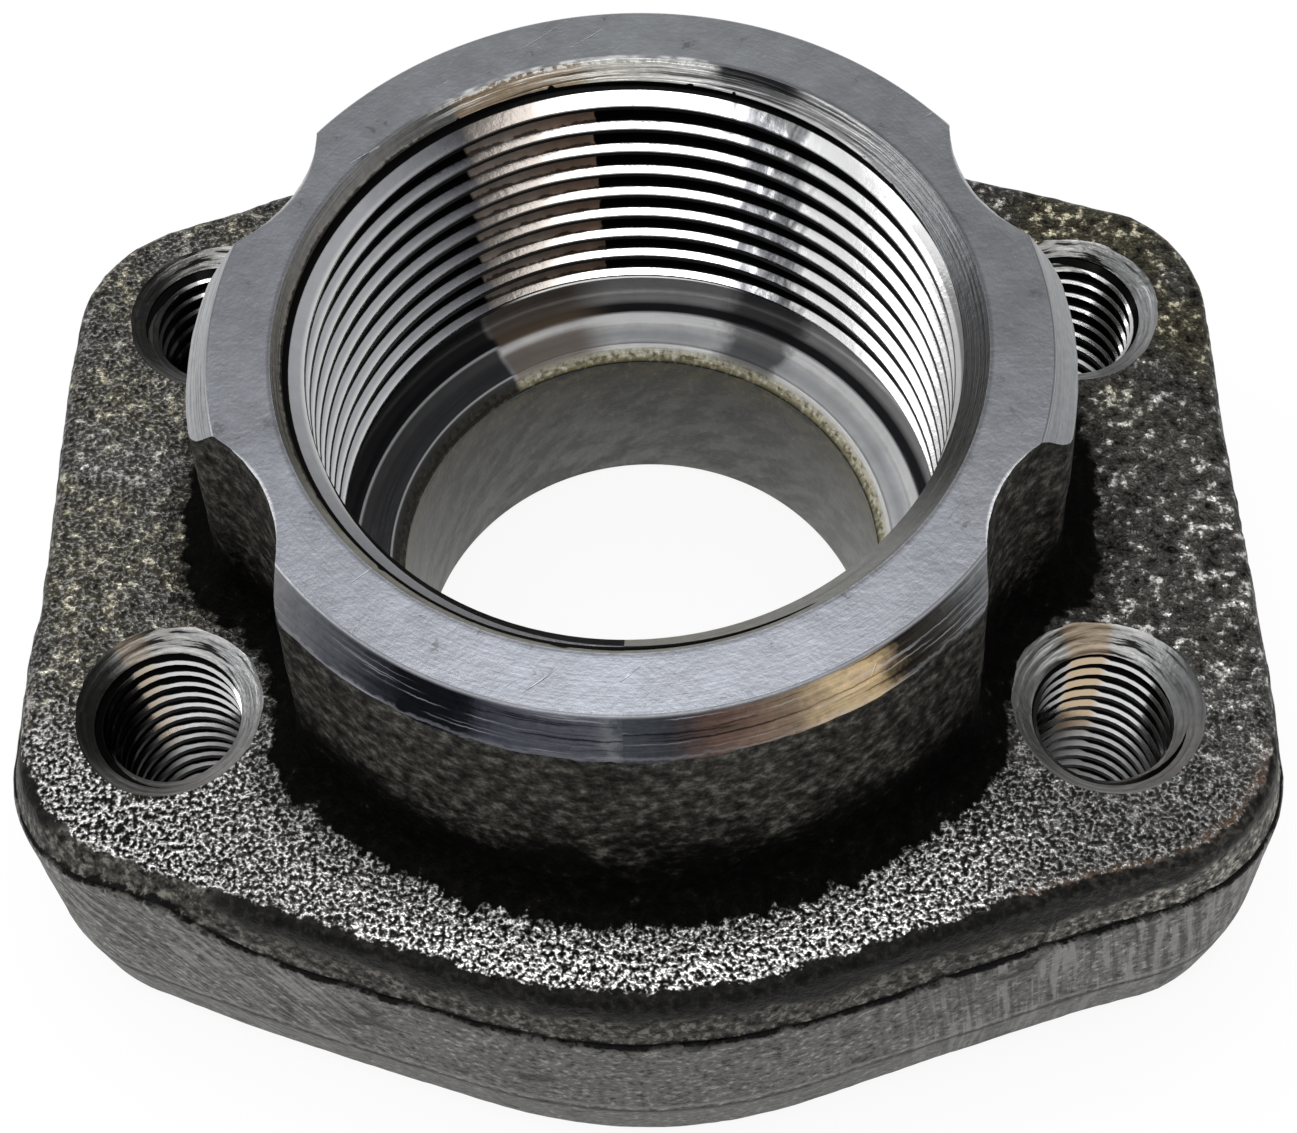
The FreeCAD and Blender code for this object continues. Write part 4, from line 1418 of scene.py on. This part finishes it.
class FLANGE_OT_finish(bpy.types.Operator):
    """Shade the piece and let it stand for the plain CAD body"""
    bl_idname = "flange.finish"
    bl_label = "Finish the piece"

    def execute(self, context):
        piece = bpy.data.objects[PIECE]
        mesh = piece.data
        with opened(mesh) as work:
            bmesh.ops.remove_doubles(work, verts=work.verts, dist=PIECE_MERGE)
            bmesh.ops.dissolve_degenerate(work, edges=work.edges, dist=SLIVER)
            wide = [face for face in work.faces if len(face.verts) > 4]
            bmesh.ops.triangulate(work, faces=wide)
            drop_folded(work)
        note_places(piece, context.scene)
        crisp_edges(mesh, SHARP_ANGLE)
        weigh_normals(piece)
        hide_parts(NODE)
        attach(piece, "root")
        return {"FINISHED"}


def camera_axes(stage):
    """Right, up and backward axes of the photograph's camera."""
    elevation, azimuth, roll = stage.elevation, stage.azimuth, stage.roll
    back = Vector((math.sin(azimuth) * math.cos(elevation),
                   -math.cos(azimuth) * math.cos(elevation), math.sin(elevation)))
    level = (-back).cross(Vector((0, 0, 1))).normalized()
    upright = level.cross(-back)
    right = level * math.cos(roll) + upright * math.sin(roll)
    up = upright * math.cos(roll) - level * math.sin(roll)
    return right, up, back


class FLANGE_OT_stage(bpy.types.Operator):
    """Set the pale floor, the soft lamps and the photograph's camera"""
    bl_idname = "flange.stage"
    bl_label = "Set the stage"

    def execute(self, context):
        stage = context.scene.flange_stage
        self.lay_floor(stage)
        self.hang_lamps()
        self.light_world()
        self.stand_camera(stage)
        context.scene.view_settings.view_transform = "Standard"
        return {"FINISHED"}

    def lay_floor(self, stage):
        half = stage.floor_size / 2
        mesh = bpy.data.meshes.new("floor")
        mesh.from_pydata([(-half, -half, 0), (half, -half, 0), (half, half, 0), (-half, half, 0)],
                         [], [(0, 1, 2, 3)])

        def paint(recipe):
            matt = recipe.add("ShaderNodeBsdfPrincipled", inputs={
                "Base Color": tuple(stage.floor), "Roughness": 0.9, "Specular IOR Level": 0.0})
            ray = recipe.add("ShaderNodeLightPath", output=None).outputs
            seen = Wire(ray["Is Camera Ray"]) + Wire(ray["Is Glossy Ray"])
            seen = (seen + Wire(ray["Is Transmission Ray"])).least(1.0)
            glow = recipe.add("ShaderNodeEmission", inputs={"Color": (1, 1, 1), "Strength": 1.0})
            return recipe.add("ShaderNodeMixShader", inputs={0: seen * 0.9, 1: matt, 2: glow})

        mesh.materials.append(metal("floor_white", paint))
        floor = add_object("floor", mesh)
        floor.location.z = -0.05 * MM

    def hang_lamps(self):
        for name, place, wide, deep, power in LAMPS:
            data = bpy.data.lights.new(name, "AREA")
            data.shape = "RECTANGLE"
            data.size, data.size_y, data.energy = wide, deep, power
            lamp = add_object(name, data)
            lamp.location = place
            lamp.rotation_euler = Vector(place).to_track_quat("Z", "Y").to_euler()

    def light_world(self):
        world = bpy.data.worlds.new("studio")
        bpy.context.scene.world = world
        world.use_nodes = True
        world.node_tree.nodes.clear()
        recipe = Recipe(world.node_tree)
        way = recipe.add("ShaderNodeTexCoord", output="Generated")
        sky = axes(recipe, way)[2].ramp(0.0, 0.8) * 0.35 + 0.28
        shine = recipe.add("ShaderNodeBackground", inputs={"Color": (1, 1, 1), "Strength": sky})
        recipe.add("ShaderNodeOutputWorld", inputs={"Surface": shine}, output=None)

    def stand_camera(self, stage):
        right, up, back = camera_axes(stage)
        centre_x, centre_y = CAMERA_CENTRE
        data = bpy.data.cameras.new("photo_camera")
        data.sensor_fit = "HORIZONTAL"
        data.sensor_width = 36.0
        data.lens = stage.focal_pixels * data.sensor_width / PHOTO_WIDTH
        data.shift_x = (PHOTO_WIDTH / 2 - centre_x) / PHOTO_WIDTH
        data.shift_y = (centre_y - PHOTO_HEIGHT / 2) / PHOTO_WIDTH
        data.clip_start = 0.01
        data.clip_end = 20.0
        camera = add_object("photo_camera", data)
        turned = Matrix((right, up, back)).transposed().to_4x4()
        camera.matrix_world = Matrix.Translation(CAMERA_TARGET + back * stage.distance) @ turned
        bpy.context.scene.camera = camera


class FLANGE_PT_panel(bpy.types.Panel):
    """Lists the flange's steps and sizes."""
    bl_label = "Threaded flange"
    bl_idname = "FLANGE_PT_panel"
    bl_space_type = "VIEW_3D"
    bl_region_type = "UI"
    bl_category = "Flange"

    def draw(self, context):
        layout = self.layout
        for operator in OPERATORS:
            layout.operator(operator.bl_idname)
        for attribute, group in GROUPS:
            box = layout.box()
            box.label(text=group.__doc__)
            for name in group.__annotations__:
                box.prop(getattr(context.scene, attribute), name)


GROUPS = (("flange_plate", PlateSizes), ("flange_hub", HubSizes), ("flange_bore", BoreSizes),
          ("flange_bolts", BoltSizes), ("flange_quirks", ForgingQuirks),
          ("flange_detail", MeshDetail), ("flange_finish", FinishColours),
          ("flange_stage", StageSettings))
OPERATORS = (FLANGE_OT_forge, FLANGE_OT_turn_hub, FLANGE_OT_bore, FLANGE_OT_tap_bolts,
             FLANGE_OT_finish, FLANGE_OT_stage)


def register():
    for attribute, group in GROUPS:
        bpy.utils.register_class(group)
        setattr(bpy.types.Scene, attribute, bpy.props.PointerProperty(type=group))
    for part in OPERATORS + (FLANGE_PT_panel,):
        bpy.utils.register_class(part)


def unregister():
    for part in reversed(OPERATORS + (FLANGE_PT_panel,)):
        bpy.utils.unregister_class(part)
    for attribute, group in reversed(GROUPS):
        delattr(bpy.types.Scene, attribute)
        bpy.utils.unregister_class(group)


def main():
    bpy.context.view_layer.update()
    register()
    for operator in (bpy.ops.flange.forge, bpy.ops.flange.turn_hub, bpy.ops.flange.bore,
                     bpy.ops.flange.tap_bolts, bpy.ops.flange.finish, bpy.ops.flange.stage):
        operator()


if __name__ == "__main__":
    main()
